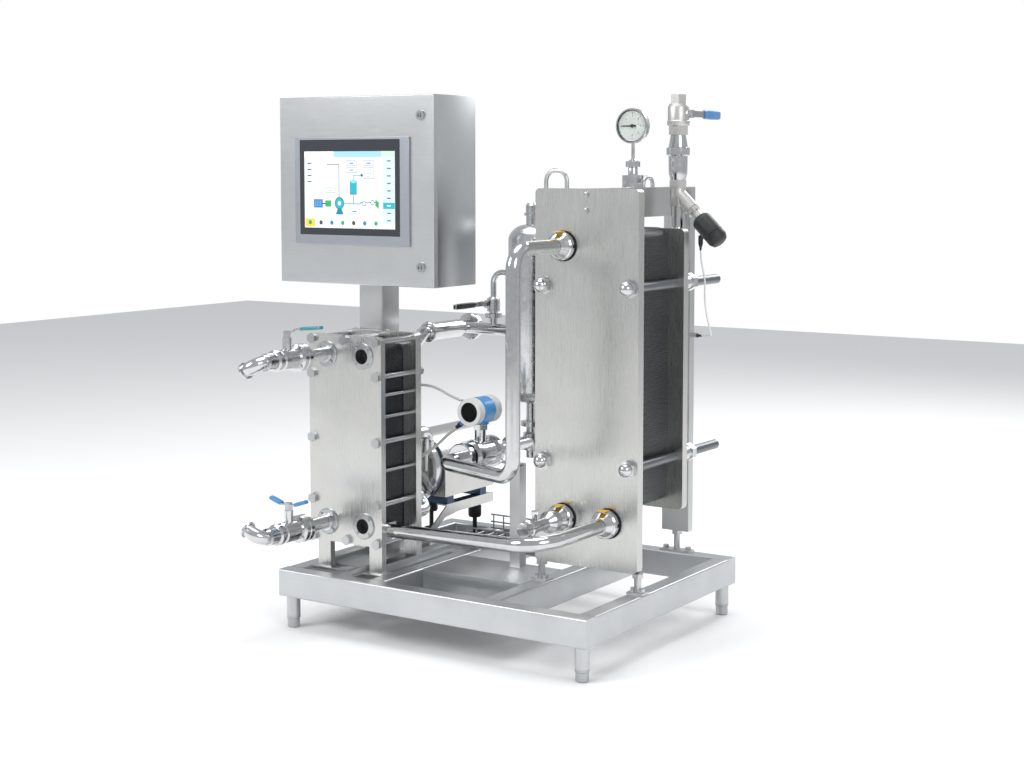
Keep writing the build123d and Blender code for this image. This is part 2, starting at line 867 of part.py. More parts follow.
def inlet_lever():
    """The upper valve's ball, stem, nut and long bent lever with its sleeve."""
    x, z = chiller_port_x[0], chiller_port_z[1]
    y = valve_stem_y
    boss_top = z + valve_boss_height
    top = boss_top + 14
    body = valve_ball(x, y, z, top)
    body += hex_bar((x, y, boss_top + seat_gap), (x, y, top + 6), 18)
    points = [(x - 8, y, top + 2), (x + 18, y, top + 2), (x + 38, y, top + 13), (x + 124, y, top + 21)]
    body += bent_bar(points, 8, 14, 4, (0, 1, 0))
    return body + grip((x + 52, y, top + 14), (x + 126, y, top + 21), 18, 9, (0, 1, 0))


def outlet_handle():
    """The lower valve's ball, stem and two-armed handle with sleeves on both arms."""
    x, z = chiller_port_x[0], chiller_port_z[0]
    y = valve_stem_y
    boss_top = z + valve_boss_height
    top = boss_top + 14
    body = valve_ball(x, y, z, top)
    body += hex_bar((x, y, boss_top + seat_gap), (x, y, top + 8), 20)
    for side in (-1, 1):
        points = [(x, y, top + 2), (x + side * 20, y, top + 2), (x + side * 64, y, top + 16)]
        body += bent_bar(points, 10, 14, 5, (0, 1, 0))
        body += grip((x + side * 26, y, top + 4), (x + side * 66, y, top + 17), 18, 10, (0, 1, 0))
    return body


vessel_x = meter_x
vessel_y = transfer_end_y
vessel_top = vessel_bottom + vessel_height


def dished_outline(radius, neck, low, high, dish):
    """The edges of an upright vessel's outline, with dished ends and open necks."""
    bulge = radius * 0.8
    return [
        Line((neck, 0, low), (neck, 0, low + 1)),
        ThreePointArc((neck, 0, low + 1), (bulge, 0, low + dish * 0.42), (radius, 0, low + dish)),
        Line((radius, 0, low + dish), (radius, 0, high - dish)),
        ThreePointArc((radius, 0, high - dish), (bulge, 0, high - dish * 0.42), (neck, 0, high - 1)),
        Line((neck, 0, high - 1), (neck, 0, high)),
        Line((neck, 0, high), (0, 0, high)),
        Line((0, 0, high), (0, 0, low)),
        Line((0, 0, low), (neck, 0, low)),
    ]


def vessel():
    """The upright vessel with dished ends, and the fittings on its top and bottom necks."""
    outer = revolve(make_face(dished_outline(vessel_radius, 18, vessel_bottom, vessel_top, 42)), Axis.Z)
    hollow = dished_outline(
        vessel_radius - vessel_wall, 14, vessel_bottom + vessel_wall, vessel_top - vessel_wall, 41
    )
    body = Pos(vessel_x, vessel_y, 0) * (outer - revolve(make_face(hollow), Axis.Z))
    cap = turned(
        [
            (0, -1),
            (16, -1),
            (16, 26),
            (22, 27),
            (22, 34),
            (17, 36),
            (17, 58),
            (12, 65),
            (0, 65),
        ],
        (vessel_x, vessel_y, vessel_top),
        (0, 0, 1),
    )
    return body + cap


def vessel_outlet():
    """The bottom neck, clamp and drain fitting of the vessel, with the side arm to the meter."""
    z = upper_run_low_z
    neck_top = vessel_bottom
    body = turned(
        [
            (0, z - 50),
            (15, z - 50),
            (15, z - 30),
            (24, z - 26),
            (27, z),
            (24, z + 26),
            (16, z + 30),
            (16, neck_top - 70),
            (32, neck_top - 68),
            (32, neck_top - 54),
            (16, neck_top - 52),
            (16, neck_top),
            (0, neck_top),
        ],
        (vessel_x, vessel_y, 0),
        (0, 0, 1),
    )
    arm_start = (meter_x, sensor_y + sensor_length / 2, z)
    arm = rod(arm_start, (meter_x, vessel_y, z), pipe_radius)
    clamp = rod((meter_x, vessel_y - 120, z), (meter_x, vessel_y - 106, z), 31)
    return body + arm + clamp


def transfer_pipe():
    """The raised pipe from the small exchanger's rear port, up to its tee."""
    x, port_z = chiller_port_x[1], chiller_port_z[1]
    tee = transfer_end_y
    points = [
        (x, chiller_back_y, port_z),
        (x, chiller_back_y + 34, port_z),
        (x, strainer_front_y - 22, transfer_z),
        (x, tee + 24, transfer_z),
    ]
    path = FilletPolyline(*points, radius=30)
    start = Plane(origin=path @ 0, z_dir=path % 0)
    body = sweep(start * (Circle(pipe_radius) - Circle(pipe_radius - pipe_wall)), path=path)
    body += ring((x, chiller_back_y, port_z), (x, chiller_back_y + 5, port_z), pipe_radius + 12, pipe_radius - 1)
    return body


def transfer_run():
    """The level run from the raised pipe's tee across to the vessel."""
    x = chiller_port_x[1]
    y = transfer_end_y
    body = ring((x, y, transfer_z), (vessel_x, y, transfer_z), run_radius, run_radius - pipe_wall)
    body -= rod((x, y - 60, transfer_z), (x, y + 60, transfer_z), pipe_radius)
    return body - rod((vessel_x, y, transfer_z - 60), (vessel_x, y, transfer_z + 60), vessel_radius)


def strainer():
    """The thicker in-line body on the raised pipe, with a rim at the front."""
    x = chiller_port_x[1]
    length = transfer_end_y - pipe_radius - 6 - strainer_front_y
    radius = strainer_radius
    outline = [
        (pipe_radius, 0),
        (radius, 0),
        (radius + 4, 2),
        (radius + 4, 9),
        (radius, 12),
        (radius, length - 6),
        (radius - 5, length),
        (pipe_radius, length),
    ]
    return turned(outline, (x, strainer_front_y, transfer_z), (0, 1, 0))


def transfer_union():
    """The large slotted nut and domed cap that close the tee of the raised pipe."""
    x = chiller_port_x[1]
    end_y = transfer_end_y + 24
    nut = union_nut((x, end_y, transfer_z), (0, 1, 0), union_radius + 2, union_length, 0)
    neck = ring((x, end_y - 4, transfer_z), (x, end_y, transfer_z), 28, pipe_radius)
    return nut + neck


vent_valve_z = transfer_z + 76
vent_ball_radius = 11
vent_boss_reach = 30
vent_lever_x = branch_x - 40
vent_lever_length = 152


def vent_branch():
    """A small riser with a clamp and a ball valve, bent over to the vessel."""
    y = transfer_end_y
    base_z = transfer_z + run_radius
    points = [(branch_x, y, base_z - 6), (branch_x, y, branch_top_z), (vessel_x, y, branch_top_z)]
    path = FilletPolyline(*points, radius=branch_bend)
    body = sweep(Plane(origin=path @ 0, z_dir=path % 0) * Circle(branch_radius), path=path)
    outline = [
        (0, -6),
        (13, -6),
        (13, 16),
        (26, 18),
        (26, 30),
        (13, 32),
        (13, 36),
        (20, 37),
        (20, 76),
        (12, 82),
        (0, 82),
    ]
    body += turned(outline, (branch_x, y, base_z), (0, 0, 1))
    boss_end = (branch_x - vent_boss_reach, y, vent_valve_z)
    body += hex_bar((branch_x, y, vent_valve_z), boss_end, 22)
    body -= Pos(branch_x, y, vent_valve_z) * Sphere(vent_ball_radius + 1)
    body -= rod((branch_x, y, vent_valve_z), boss_end, 4 + running_gap)
    body -= rod((branch_x - 40, y, transfer_z), (branch_x + 40, y, transfer_z), run_radius)
    jacket = rod((vessel_x, y, branch_top_z - 40), (vessel_x, y, branch_top_z + 40), vessel_radius)
    return body - jacket


def vent_lever():
    """The small valve's ball, stem, nut and lever with its sleeve."""
    y = transfer_end_y
    z = vent_valve_z
    x = vent_lever_x
    body = Pos(branch_x, y, z) * Sphere(vent_ball_radius)
    body -= rod((branch_x, y - 20, z), (branch_x, y + 20, z), branch_radius - 3)
    body += rod((branch_x - branch_radius, y, z), (x - 8, y, z), 4)
    body += hex_bar((branch_x - vent_boss_reach - seat_gap, y, z), (x - 6, y, z), 14)
    body += block((x - 2, x + 2), (y - vent_lever_length + 8, y + 10), (z - 7, z + 7))
    return body + grip((x, y - 44, z), (x, y - vent_lever_length, z), 16, 10, (0, 0, 1))


def piping_post():
    """The square post on the deck, with a bracket and saddle under the meter's pipe."""
    half = post_size / 2
    outline = Rectangle(post_size, post_size) - Rectangle(post_size - 2 * sheet, post_size - 2 * sheet)
    tube = extrude(Pos(post_x, post_y, frame_top) * outline, post_top - frame_top)
    arm_y = (sensor_y + sensor_length / 2 + 2, post_y + half)
    arm = block((meter_x - 24, post_x + half), arm_y, (post_top, post_top + 6))
    pipe_z = upper_run_low_z
    saddle = block((meter_x - 18, meter_x + 18), arm_y, (post_top + 6, pipe_z - 6))
    saddle -= rod((meter_x, sensor_y, pipe_z), (meter_x, vessel_y, pipe_z), pipe_radius)
    return tube + arm + saddle


def meter_sensor():
    """The flow sensor's round body with end flanges, and its neck up to the head."""
    z = upper_run_low_z
    front = sensor_y - sensor_length / 2
    back = sensor_y + sensor_length / 2
    body = ring((meter_x, front, z), (meter_x, back, z), sensor_radius - 8, pipe_radius - pipe_wall)
    for y in (front + 12, back - 28):
        body += ring((meter_x, y, z), (meter_x, y + 16, z), sensor_radius, pipe_radius - pipe_wall)
    neck_top = head_z - head_radius
    body += rod((meter_x, sensor_y, z + sensor_radius - 16), (meter_x, sensor_y, neck_top - 10), 18)
    return body + hex_bar((meter_x, sensor_y, neck_top - 16), (meter_x, sensor_y, neck_top), 42)


def sensor_union():
    """The slotted union nut in front of the sensor, on the end of the U pipe."""
    front = sensor_y - sensor_length / 2
    return union_nut((meter_x, front - 10, upper_run_low_z), (0, -1, 0), union_radius + 3)


def meter_head():
    """The two-chamber transmitter housing with screw covers at both ends and two cable glands."""
    front = sensor_y - head_length / 2
    radius = head_radius
    outline = [
        (0, 0),
        (radius, 0),
        (radius, 26),
        (radius - 3, 28),
        (radius - 3, 34),
        (radius, 36),
        (radius, head_length - 36),
        (radius - 3, head_length - 34),
        (radius - 3, head_length - 28),
        (radius, head_length - 26),
        (radius, head_length - 4),
        (radius - 4, head_length),
        (0, head_length),
    ]
    body = turned(outline, (meter_x, front, head_z), (0, 1, 0))
    body -= rod((meter_x, front, head_z), (meter_x, front + 6, head_z), radius - 11)
    body += rod((meter_x, sensor_y, head_z - radius), (meter_x, sensor_y, head_z - radius + 12), 26)
    for start, end in gland_lines():
        body += rod(start, end, 8)
    return body


def gland_lines():
    """Start and end of the two cable glands on the left side of the transmitter."""
    low = Vector(meter_x - head_radius * 0.68, sensor_y - 16, head_z - head_radius * 0.51)
    side = Vector(meter_x - head_radius * 0.87, sensor_y + 18, head_z + head_radius * 0.22)
    down = Vector(-0.8, 0, -0.6) * 40
    left = Vector(-0.97, 0, 0.243) * 26
    return [(tuple(low), tuple(low + down)), (tuple(side), tuple(side + left))]


def meter_window():
    """The round sight glass in the transmitter's front cover."""
    front = sensor_y - head_length / 2
    return rod((meter_x, front + 2, head_z), (meter_x, front + 6, head_z), head_radius - 11)


shaft_radius = 12
impeller_radius = 74
cavity_front = pump_front_y + 12
cavity_back = pump_front_y + volute_depth - 10
motor_front_y = pump_front_y + volute_depth
cradle_top = 303
cradle_flange = 30
cradle_back_y = shroud_front_y + shroud_length + 4


def pump_volute():
    """The pump casing, with a clamp rim, suction boss, upright outlet and impeller chamber."""
    back = motor_front_y
    outline = [
        (0, 0),
        (34, 0),
        (40, 6),
        (volute_radius - 14, 9),
        (volute_radius - 6, 12),
        (volute_radius, 14),
        (volute_radius, 26),
        (volute_radius - 6, 28),
        (volute_radius - 8, volute_depth),
        (0, volute_depth),
    ]
    body = turned(outline, (pump_x, pump_front_y, pump_z), (0, 1, 0))
    outlet_y = pump_front_y + volute_depth / 2
    body += rod((pressure_port_x, outlet_y, pump_z), (pressure_port_x, outlet_y, outlet_z), nozzle_radius + 3)
    body -= rod((pressure_port_x, outlet_y, pump_z), (pressure_port_x, outlet_y, outlet_z), nozzle_radius - 2)
    body -= rod((pump_x, cavity_front, pump_z), (pump_x, cavity_back, pump_z), impeller_radius + 8)
    body -= rod((pump_x, cavity_back, pump_z), (pump_x, back, pump_z), shaft_radius + running_gap)
    body -= rod((pump_x, pump_front_y, pump_z), (pump_x, cavity_front, pump_z), nozzle_radius - 2)
    return body


outlet_z = 508


def pump_impeller():
    """The impeller's back plate, hub and curved vanes on the pump shaft."""
    plate_front = cavity_back - 7
    body = rod((pump_x, plate_front, pump_z), (pump_x, cavity_back - 2, pump_z), impeller_radius)
    body += rod((pump_x, cavity_front + 2, pump_z), (pump_x, plate_front, pump_z), shaft_radius + 4)
    body += rod((pump_x, plate_front, pump_z), (pump_x, motor_front_y + 28, pump_z), shaft_radius)
    depth = plate_front - cavity_front - 2
    vane = Plane.XZ.offset(-(cavity_front + 2)) * make_face(
        [
            ThreePointArc((14, 0), (46, 10), (70, 34)),
            Line((70, 34), (66, 38)),
            ThreePointArc((66, 38), (43, 14), (14, 5)),
            Line((14, 5), (14, 0)),
        ]
    )
    blade = extrude(vane, -depth)
    for index in range(6):
        body += Pos(pump_x, 0, pump_z) * (Rot(0, index * 60, 0) * blade)
    return body


def pump_motor():
    """The motor with its lantern flange and the feet that stand on the cradle."""
    front = motor_front_y
    back = shroud_front_y + shroud_length - 12
    body = rod((pump_x, front, pump_z), (pump_x, shroud_front_y, pump_z), volute_radius - 10)
    body += rod((pump_x, shroud_front_y, pump_z), (pump_x, back, pump_z), motor_radius)
    half = cradle_half
    for y in (shroud_front_y + 16, back - 60):
        foot = block((pump_x - half, pump_x + half), (y, y + 34), (cradle_top, pump_z - motor_radius * 0.8))
        body += foot
    return body - rod((pump_x, front, pump_z), (pump_x, front + 30, pump_z), shaft_radius + running_gap)


cradle_half = 108
shroud_bottom = pump_z - 87


def arch(radius, depth):
    """The outline of a round-topped housing with straight sides, its width twice the radius."""
    sides = Pos(0, depth / 2) * Rectangle(2 * radius, depth)
    return (Circle(radius) & Pos(0, -radius / 2) * Rectangle(2 * radius, radius)) + sides


def pump_shroud():
    """The sheet shroud over the motor, with straight sides, a round top and closed ends."""
    back = shroud_front_y + shroud_length
    front_plane = Plane(origin=(pump_x, shroud_front_y, pump_z), x_dir=(1, 0, 0), z_dir=(0, 1, 0))
    inside_plane = front_plane.offset(sheet)
    drop = pump_z - shroud_bottom
    body = extrude(front_plane * arch(shroud_radius, drop), shroud_length)
    body -= extrude(inside_plane * arch(shroud_radius - sheet, drop + 1), shroud_length - 2 * sheet)
    hole_end = (pump_x, shroud_front_y + sheet, pump_z)
    body -= rod((pump_x, shroud_front_y, pump_z), hole_end, motor_radius + seat_gap)
    x_range = (pump_x - motor_radius * 0.6, pump_x + motor_radius * 0.6)
    return body - block(x_range, (back - sheet - 1, back + 1), (shroud_bottom - 1, shroud_bottom + 30))


def pump_cradle():
    """Two pressed side legs under the motor, each a profiled web with a folded foot."""
    legs = []
    profile = [
        (-50, frame_top + 6),
        (-14, frame_top + 6),
        (16, 226),
        (76, 264),
        (150, cradle_top - cradle_flange),
        (cradle_back_y, cradle_top - cradle_flange),
        (cradle_back_y, cradle_top),
        (92, cradle_top),
        (-12, 232),
        (-50, 200),
    ]
    points = [(y, z) for y, z in profile]
    for side in (-1, 1):
        face_x = pump_x + side * cradle_half
        web_plane = Plane(origin=(face_x, 0, 0), x_dir=(0, 1, 0), z_dir=(1, 0, 0))
        web = extrude(web_plane * make_face(FilletPolyline(*points, radius=5, close=True)), -side * 5)
        fold = (face_x, face_x - side * 36)
        foot = block(fold, (-50, -14), (frame_top, frame_top + 8))
        seat = block(fold, (240, 300), (cradle_top - cradle_flange, cradle_top - cradle_flange + 4))
        ledge = block(fold, (shroud_front_y + 10, 330), (cradle_top - 4, cradle_top))
        bolt_x = face_x - side * 22
        bolt = hex_bar((bolt_x, -32, frame_top + 8), (bolt_x, -32, frame_top + 18), 17)
        legs.append(web + foot + seat + ledge + bolt)
    return legs


def pump_feet():
    """Rubber-topped levelling feet at the back of the cradle, on seat plates across the bays."""
    pieces = []
    for side in (-1, 1):
        x = pump_x + side * (cradle_half - 22)
        outline = [
            (0, 0),
            (22, 0),
            (22, 5),
            (7, 8),
            (7, 56),
            (18, 58),
            (21, 64),
            (21, 94),
            (15, cradle_top - cradle_flange - frame_top),
            (0, cradle_top - cradle_flange - frame_top),
        ]
        pieces.append(turned(outline, (x, 270, frame_top), (0, 0, 1)))
    return pieces


def pump_pipes():
    """The suction pipe from the small exchanger's lower port and the pressure pipe to its cover."""
    x, z = chiller_port_x[1], chiller_port_z[0]
    bend_y = pump_front_y - 32
    suction = [
        (x, chiller_back_y, z),
        (x, bend_y, z),
        (pump_x, bend_y, pump_z),
        (pump_x, pump_front_y, pump_z),
    ]
    outlet_y = pump_front_y + volute_depth / 2
    pressure = [
        (pressure_port_x, chiller_back_y, pressure_port_z),
        (pressure_port_x, outlet_y, pressure_port_z),
        (pressure_port_x, outlet_y, outlet_z),
    ]
    lower = pipe(suction, 28, nozzle_radius)
    upper = pipe(pressure, 24, nozzle_radius)
    return [lower + wall_collar(x, z), upper + wall_collar(pressure_port_x, pressure_port_z)]


def wall_collar(x, z):
    """A flat collar on the back of the small exchanger, round a pipe of the pump."""
    start = (x, chiller_back_y, z)
    return ring(start, (x, chiller_back_y + 5, z), nozzle_radius + 12, nozzle_radius - pipe_wall)


tray_x = (-285, -37)
tray_y = (108, 318)
tray_rail_height = 12
tray_side_height = 46
tray_wire = 2.5


def cable_tray():
    """A wire-mesh tray across the back of the skid, on two bars between the cross beams."""
    rail_z = frame_top + tray_rail_height
    low = rail_z + tray_wire
    high = low + tray_side_height
    body = block((pump_beam_x - 19, cooler_beam_x), (tray_y[0] + 8, tray_y[0] + 24), (frame_top, rail_z))
    body += block((pump_beam_x - 19, cooler_beam_x), (tray_y[1] - 24, tray_y[1] - 8), (frame_top, rail_z))
    count = 7
    pitch = (tray_x[1] - tray_x[0] - 20) / (count - 1)
    for index in range(count):
        x = tray_x[0] + 10 + pitch * index
        body += rod((x, tray_y[0] - tray_wire, low), (x, tray_y[1] + tray_wire, low), tray_wire)
        for y in tray_y:
            body += rod((x, y, low - tray_wire), (x, y, high + tray_wire), tray_wire)
    spacing = (tray_y[1] - tray_y[0]) / 4
    for index in range(5):
        y = tray_y[0] + spacing * index
        body += rod((tray_x[0], y, low + tray_wire), (tray_x[1], y, low + tray_wire), tray_wire)
    for y in tray_y:
        for z in (low + tray_side_height / 2, high):
            body += rod((tray_x[0], y, z), (tray_x[1], y, z), tray_wire)
    return body


def slanted(distance):
    """A point on the slanted axis of the angle valve."""
    reach = distance * cos(radians(actuator_angle))
    drop = distance * sin(radians(actuator_angle))
    return (stack_x + reach, stack_y, stack_valve_z - drop)


angle_valve_half = 38
stack_pipe_top = stack_valve_z - angle_valve_half
angle_valve_top = stack_valve_z + angle_valve_half
stack_valve_low = angle_valve_top + stack_union_length
stack_ball_z = stack_valve_low + stack_ball_rise
stack_top = stack_ball_z + stack_ball_drop


def stack_pipe():
    """The elbow from the follower's port up to the angle valve."""
    points = [
        (stack_x, cooler_follower_y + 8, port_high_z),
        (stack_x, stack_y, port_high_z),
        (stack_x, stack_y, stack_pipe_top),
    ]
    start = (stack_x, cooler_follower_back, port_high_z)
    end = (stack_x, cooler_follower_back + 6, port_high_z)
    collar = ring(start, end, pipe_radius + 12, pipe_radius - 1)
    return pipe(points, 48, pipe_radius) + collar


def angle_valve():
    """The angle-seat valve's body, with hexagon ends and a slanted bonnet bored for the stem."""
    x, y = stack_x, stack_y
    low = stack_pipe_top
    high = angle_valve_top
    body = hex_bar((x, y, low), (x, y, low + 24), 48)
    body += rod((x, y, low + 24), (x, y, high - 22), 23)
    body += hex_bar((x, y, high - 22), (x, y, high), 48)
    body += rod(slanted(0), slanted(64), 22)
    body += hex_bar(slanted(62), slanted(78), 38)
    body += rod(slanted(78), slanted(actuator_start), 14)
    body -= rod((x, y, low), (x, y, high), pipe_radius - pipe_wall - 1)
    body -= rod(slanted(0), slanted(52), 16)
    return body - rod(slanted(50), slanted(actuator_start), 5 + running_gap)


def valve_plug():
    """The angle valve's plug on the slanted stem that the actuator draws back."""
    return rod(slanted(14), slanted(26), 13) + rod(slanted(26), slanted(actuator_start + 50), 5)


def actuator():
    """The actuator's cylinder with a rounded end, a waist and an elbow air fitting."""
    radius = actuator_radius
    length = actuator_length
    outline = [
        (0, 0),
        (radius - 9, 0),
        (radius - 2, 7),
        (radius, 14),
        (radius, length - 34),
        (radius - 1.5, length - 33),
        (radius - 1.5, length - 31),
        (radius, length - 30),
        (radius, length - 16),
        (radius - 6, length - 4),
        (radius - 14, length),
        (0, length),
    ]
    axis = Vector(slanted(100)) - Vector(slanted(0))
    body = turned(outline, slanted(actuator_start), axis)
    corner, end = air_port()
    outward = Vector(-sin(radians(actuator_angle)), 0, -cos(radians(actuator_angle)))
    body += rod(tuple(Vector(corner) - outward * 16), corner, 8)
    body += rod((corner[0], corner[1], corner[2] + 7), end, 7)
    return body - rod(slanted(actuator_start), slanted(actuator_start + 54 + plug_travel), 5 + running_gap)


def air_port():
    """The corner and the open end of the elbow fitting on the actuator's lower side."""
    base = Vector(slanted(actuator_start + 45))
    outward = Vector(-sin(radians(actuator_angle)), 0, -cos(radians(actuator_angle)))
    corner = base + outward * (actuator_radius + 8)
    return [tuple(corner), tuple(corner + Vector(0, 0, -18))]


def stack_union():
    """The two cones and the union nut between the angle valve and the ball valve."""
    outline = [
        (17, 0),
        (22, 0),
        (27, 20),
        (28, 70),
        (34, 74),
        (34, 94),
        (28, 96),
        (22, 132),
        (17, 132),
    ]
    return turned(outline, (stack_x, stack_y, angle_valve_top), (0, 0, 1))


def stack_valve():
    """The top ball valve's body with hexagon ends, bored for its ball and stem."""
    x, y = stack_x, stack_y
    low = stack_valve_low
    body = hex_bar((x, y, low), (x, y, low + 26), 54)
    outline = [(0, 0), (31, 0), (33, 4), (33, 14), (31, 16), (31, 54), (26, 64), (0, 64)]
    body += turned(outline, (x, y, low + 26), (0, 0, 1))
    body += hex_bar((x, y, low + 88), (x, y, stack_top), 42)
    boss_end = (x + 36, y, stack_ball_z)
    body += rod((x, y, stack_ball_z), boss_end, 12)
    body -= rod((x, y, low), (x, y, stack_top), stack_bore)
    body -= rod((x, y, stack_top - stack_socket_depth), (x, y, stack_top), stack_socket_radius)
    body -= Pos(x, y, stack_ball_z) * Sphere(stack_ball_radius + 1)
    return body - rod((x, y, stack_ball_z), boss_end, 6 + running_gap)


def stack_lever():
    """The top valve's ball, stem, nut and lever with its sleeve."""
    x, y, z = stack_x, stack_y, stack_ball_z
    plate_x = x + stack_stem_reach + 4
    body = Pos(x, y, z) * Sphere(stack_ball_radius)
    body -= rod((x, y - 30, z), (x, y + 30, z), stack_bore)
    body += rod((x + stack_bore + 3, y, z), (plate_x + 8, y, z), 6)
    body += hex_bar((x + 36 + seat_gap, y, z), (plate_x + 7, y, z), 20)
    body += block((plate_x - 2, plate_x + 2), (y - 10, y + 150), (z - 9, z + 9))
    return body + grip((plate_x, y + 78, z), (plate_x, y + 174, z), 26, 11, (0, 0, 1))


gauge_front_y = gauge_y - gauge_depth / 2


def gauge_body():
    """The gauge's case with a recessed dial, its stem, union nut and base block."""
    case_front = gauge_front_y
    radius = gauge_radius
    outline = [
        (2 + running_gap, 9),
        (radius - 6, 9),
        (radius - 6, 4),
        (radius - 4, 4),
        (radius - 4, 0),
        (radius, 0),
        (radius + 1, 3),
        (radius, 6),
        (radius, gauge_depth - 5),
        (radius - 4, gauge_depth),
        (0, gauge_depth),
        (0, 16),
        (2 + running_gap, 16),
    ]
    body = turned(outline, (cooler_x, case_front, gauge_z), (0, 1, 0))
    body += rod((cooler_x, gauge_y, cooler_top + 70), (cooler_x, gauge_y, gauge_z - radius + 4), 5)
    body += turned(
        [(0, 0), (14, 0), (14, 20), (13, 22), (21, 24), (21, 39), (13, 41), (5, 46), (0, 46)],
        (cooler_x, gauge_y, cooler_top + 36),
        (0, 0, 1),
    )
    block_half = 24
    base = block(
        (cooler_x - block_half, cooler_x + block_half),
        (gauge_y - block_half, gauge_y + block_half),
        (cooler_top, cooler_top + 36),
    )
    base = fillet(base.edges().filter_by(Axis.Z), 6)
    for side in (-1, 1):
        start = (cooler_x + side * block_half, gauge_y, cooler_top + 18)
        base += hex_bar(start, (cooler_x + side * (block_half + 7), gauge_y, cooler_top + 18), 14)
    return body + base


def gauge_glass():
    """The gauge's flat glass, seated in the case's front step."""
    front = gauge_front_y
    return rod((cooler_x, front + 1, gauge_z), (cooler_x, front + 4, gauge_z), gauge_radius - 4)


def gauge_needle():
    """The gauge's pointer with a hub and a pin in the case."""
    front = gauge_front_y
    body = rod((cooler_x, front + 5, gauge_z), (cooler_x, front + 8, gauge_z), 5)
    body += rod((cooler_x, front + 7, gauge_z), (cooler_x, front + 15, gauge_z), 2)
    pointer = Polyline((-38, -1), (12, -3), (12, 3), (-38, 1), close=True)
    plane = Plane(origin=(cooler_x, front + 6, gauge_z), x_dir=(1, 0, 0), z_dir=(0, 1, 0))
    return body + extrude(plane * make_face(pointer), 1.4)


cabinet_left = cabinet_x - cabinet_width / 2
cabinet_right = cabinet_x + cabinet_width / 2
cabinet_top = cabinet_bottom + cabinet_height
cabinet_front_y = cabinet_back_y - cabinet_depth
door_back_y = cabinet_front_y - door_gap
door_front_y = door_back_y - door_thickness
lock_x = cabinet_right - 46
lock_inset = 60
lock_heights = {"upper": cabinet_top - lock_inset, "lower": cabinet_bottom + lock_inset}
lock_radius = 9
rim_width = 15
bezel_thickness = 7
bezel_x = (-656, -224)
bezel_z = (1118, 1438)
glass_x = (-636, -257)
glass_z = (1146, 1431)


def cabinet_body():
    """The cabinet's sheet case, open in front inside a folded rim."""
    x_range = (cabinet_left, cabinet_right)
    z_range = (cabinet_bottom, cabinet_top)
    body = block(x_range, (cabinet_front_y, cabinet_back_y), z_range)
    body -= block(
        (cabinet_left + sheet, cabinet_right - sheet),
        (cabinet_front_y + sheet, cabinet_back_y - sheet),
        (cabinet_bottom + sheet, cabinet_top - sheet),
    )
    return body - block(
        (cabinet_left + rim_width, cabinet_right - rim_width),
        (cabinet_front_y - 1, cabinet_front_y + sheet + 1),
        (cabinet_bottom + rim_width, cabinet_top - rim_width),
    )


def cabinet_door():
    """The door as a shallow pan with rounded edges and two bored lock seats."""
    body = block((cabinet_left, cabinet_right), (door_front_y, door_back_y), (cabinet_bottom, cabinet_top))
    body = fillet(body.faces().sort_by(Axis.Y)[0].edges(), 2.5)
    body -= block(
        (cabinet_left + sheet, cabinet_right - sheet),
        (door_front_y + sheet, door_back_y + 1),
        (cabinet_bottom + sheet, cabinet_top - sheet),
    )
    for z in lock_heights.values():
        body -= rod((lock_x, door_front_y, z), (lock_x, door_front_y + sheet, z), lock_radius + running_gap)
    return body


def door_lock(z):
    """A quarter-turn lock with a slotted head, a barrel and a cam behind the case's rim."""
    x = lock_x
    body = rod((x, door_front_y, z), (x, door_front_y - 6, z), 14)
    body -= rod((x, door_front_y - 2, z), (x, door_front_y - 6, z), 8)
    body += block((x - 1.5, x + 1.5), (door_front_y - 5, door_front_y), (z - 8.5, z + 8.5))
    cam_y = cabinet_front_y + sheet + 1
    body += rod((x, door_front_y, z), (x, cam_y + 3, z), lock_radius)
    return body + block((x - 8, x + 38), (cam_y, cam_y + 3), (z - 8, z + 8))


def hmi_bezel():
    """The operator panel's flat frame on the door, with a seat for its glass."""
    body = block(bezel_x, (door_front_y - bezel_thickness, door_front_y), bezel_z)
    body = fillet(body.faces().sort_by(Axis.Y)[0].edges(), 1.5)
    return body - block(glass_x, (door_front_y - bezel_thickness, door_front_y - 4), glass_z)


def hmi_glass():
    """The operator panel's dark glass in its frame."""
    return block(glass_x, (door_front_y - bezel_thickness, door_front_y - 4), glass_z)


def cabinet_post():
    """The square post under the cabinet, with glands for the two instrument cables."""
    size = cabinet_post_size
    outline = RectangleRounded(size, size, 6) - RectangleRounded(size - 2 * sheet, size - 2 * sheet, 3)
    body = extrude(Pos(cabinet_post_x, cabinet_post_y, frame_top) * outline, cabinet_bottom - frame_top)
    face_x = cabinet_post_x + size / 2
    for z in (meter_gland_z, signal_gland_z):
        body += hex_bar((face_x - 1, cabinet_post_y, z), (face_x + gland_length, cabinet_post_y, z), 18)
    return body


gland_length = 18
meter_gland_z = 462
signal_gland_z = 690
hose_gland_z = 842
meter_cable_radius = 5
signal_cable_radius = 4
air_hose_radius = 2.5


def cord(name, points, radius):
    """A cord along straight runs, with each bend as wide as its shorter run allows."""
    bends = []
    for before, corner, after in zip(points, points[1:], points[2:]):
        arriving = Vector(corner) - Vector(before)
        leaving = Vector(after) - Vector(corner)
        half_turn = radians(arriving.get_angle(leaving)) / 2
        bends.append(0.45 * min(arriving.length, leaving.length) / tan(half_turn))
    path = FilletPolyline(*points, radius=bends)
    body = sweep(Plane(origin=path @ 0, z_dir=path % 0) * Circle(radius), path=path)
    section = 3.14159265 * radius**2
    print(name, "radii", [round(bend, 1) for bend in bends])
    print(name, "length", round(path.length, 1), "volume ratio", round(body.volume / section / path.length, 4))
    return body


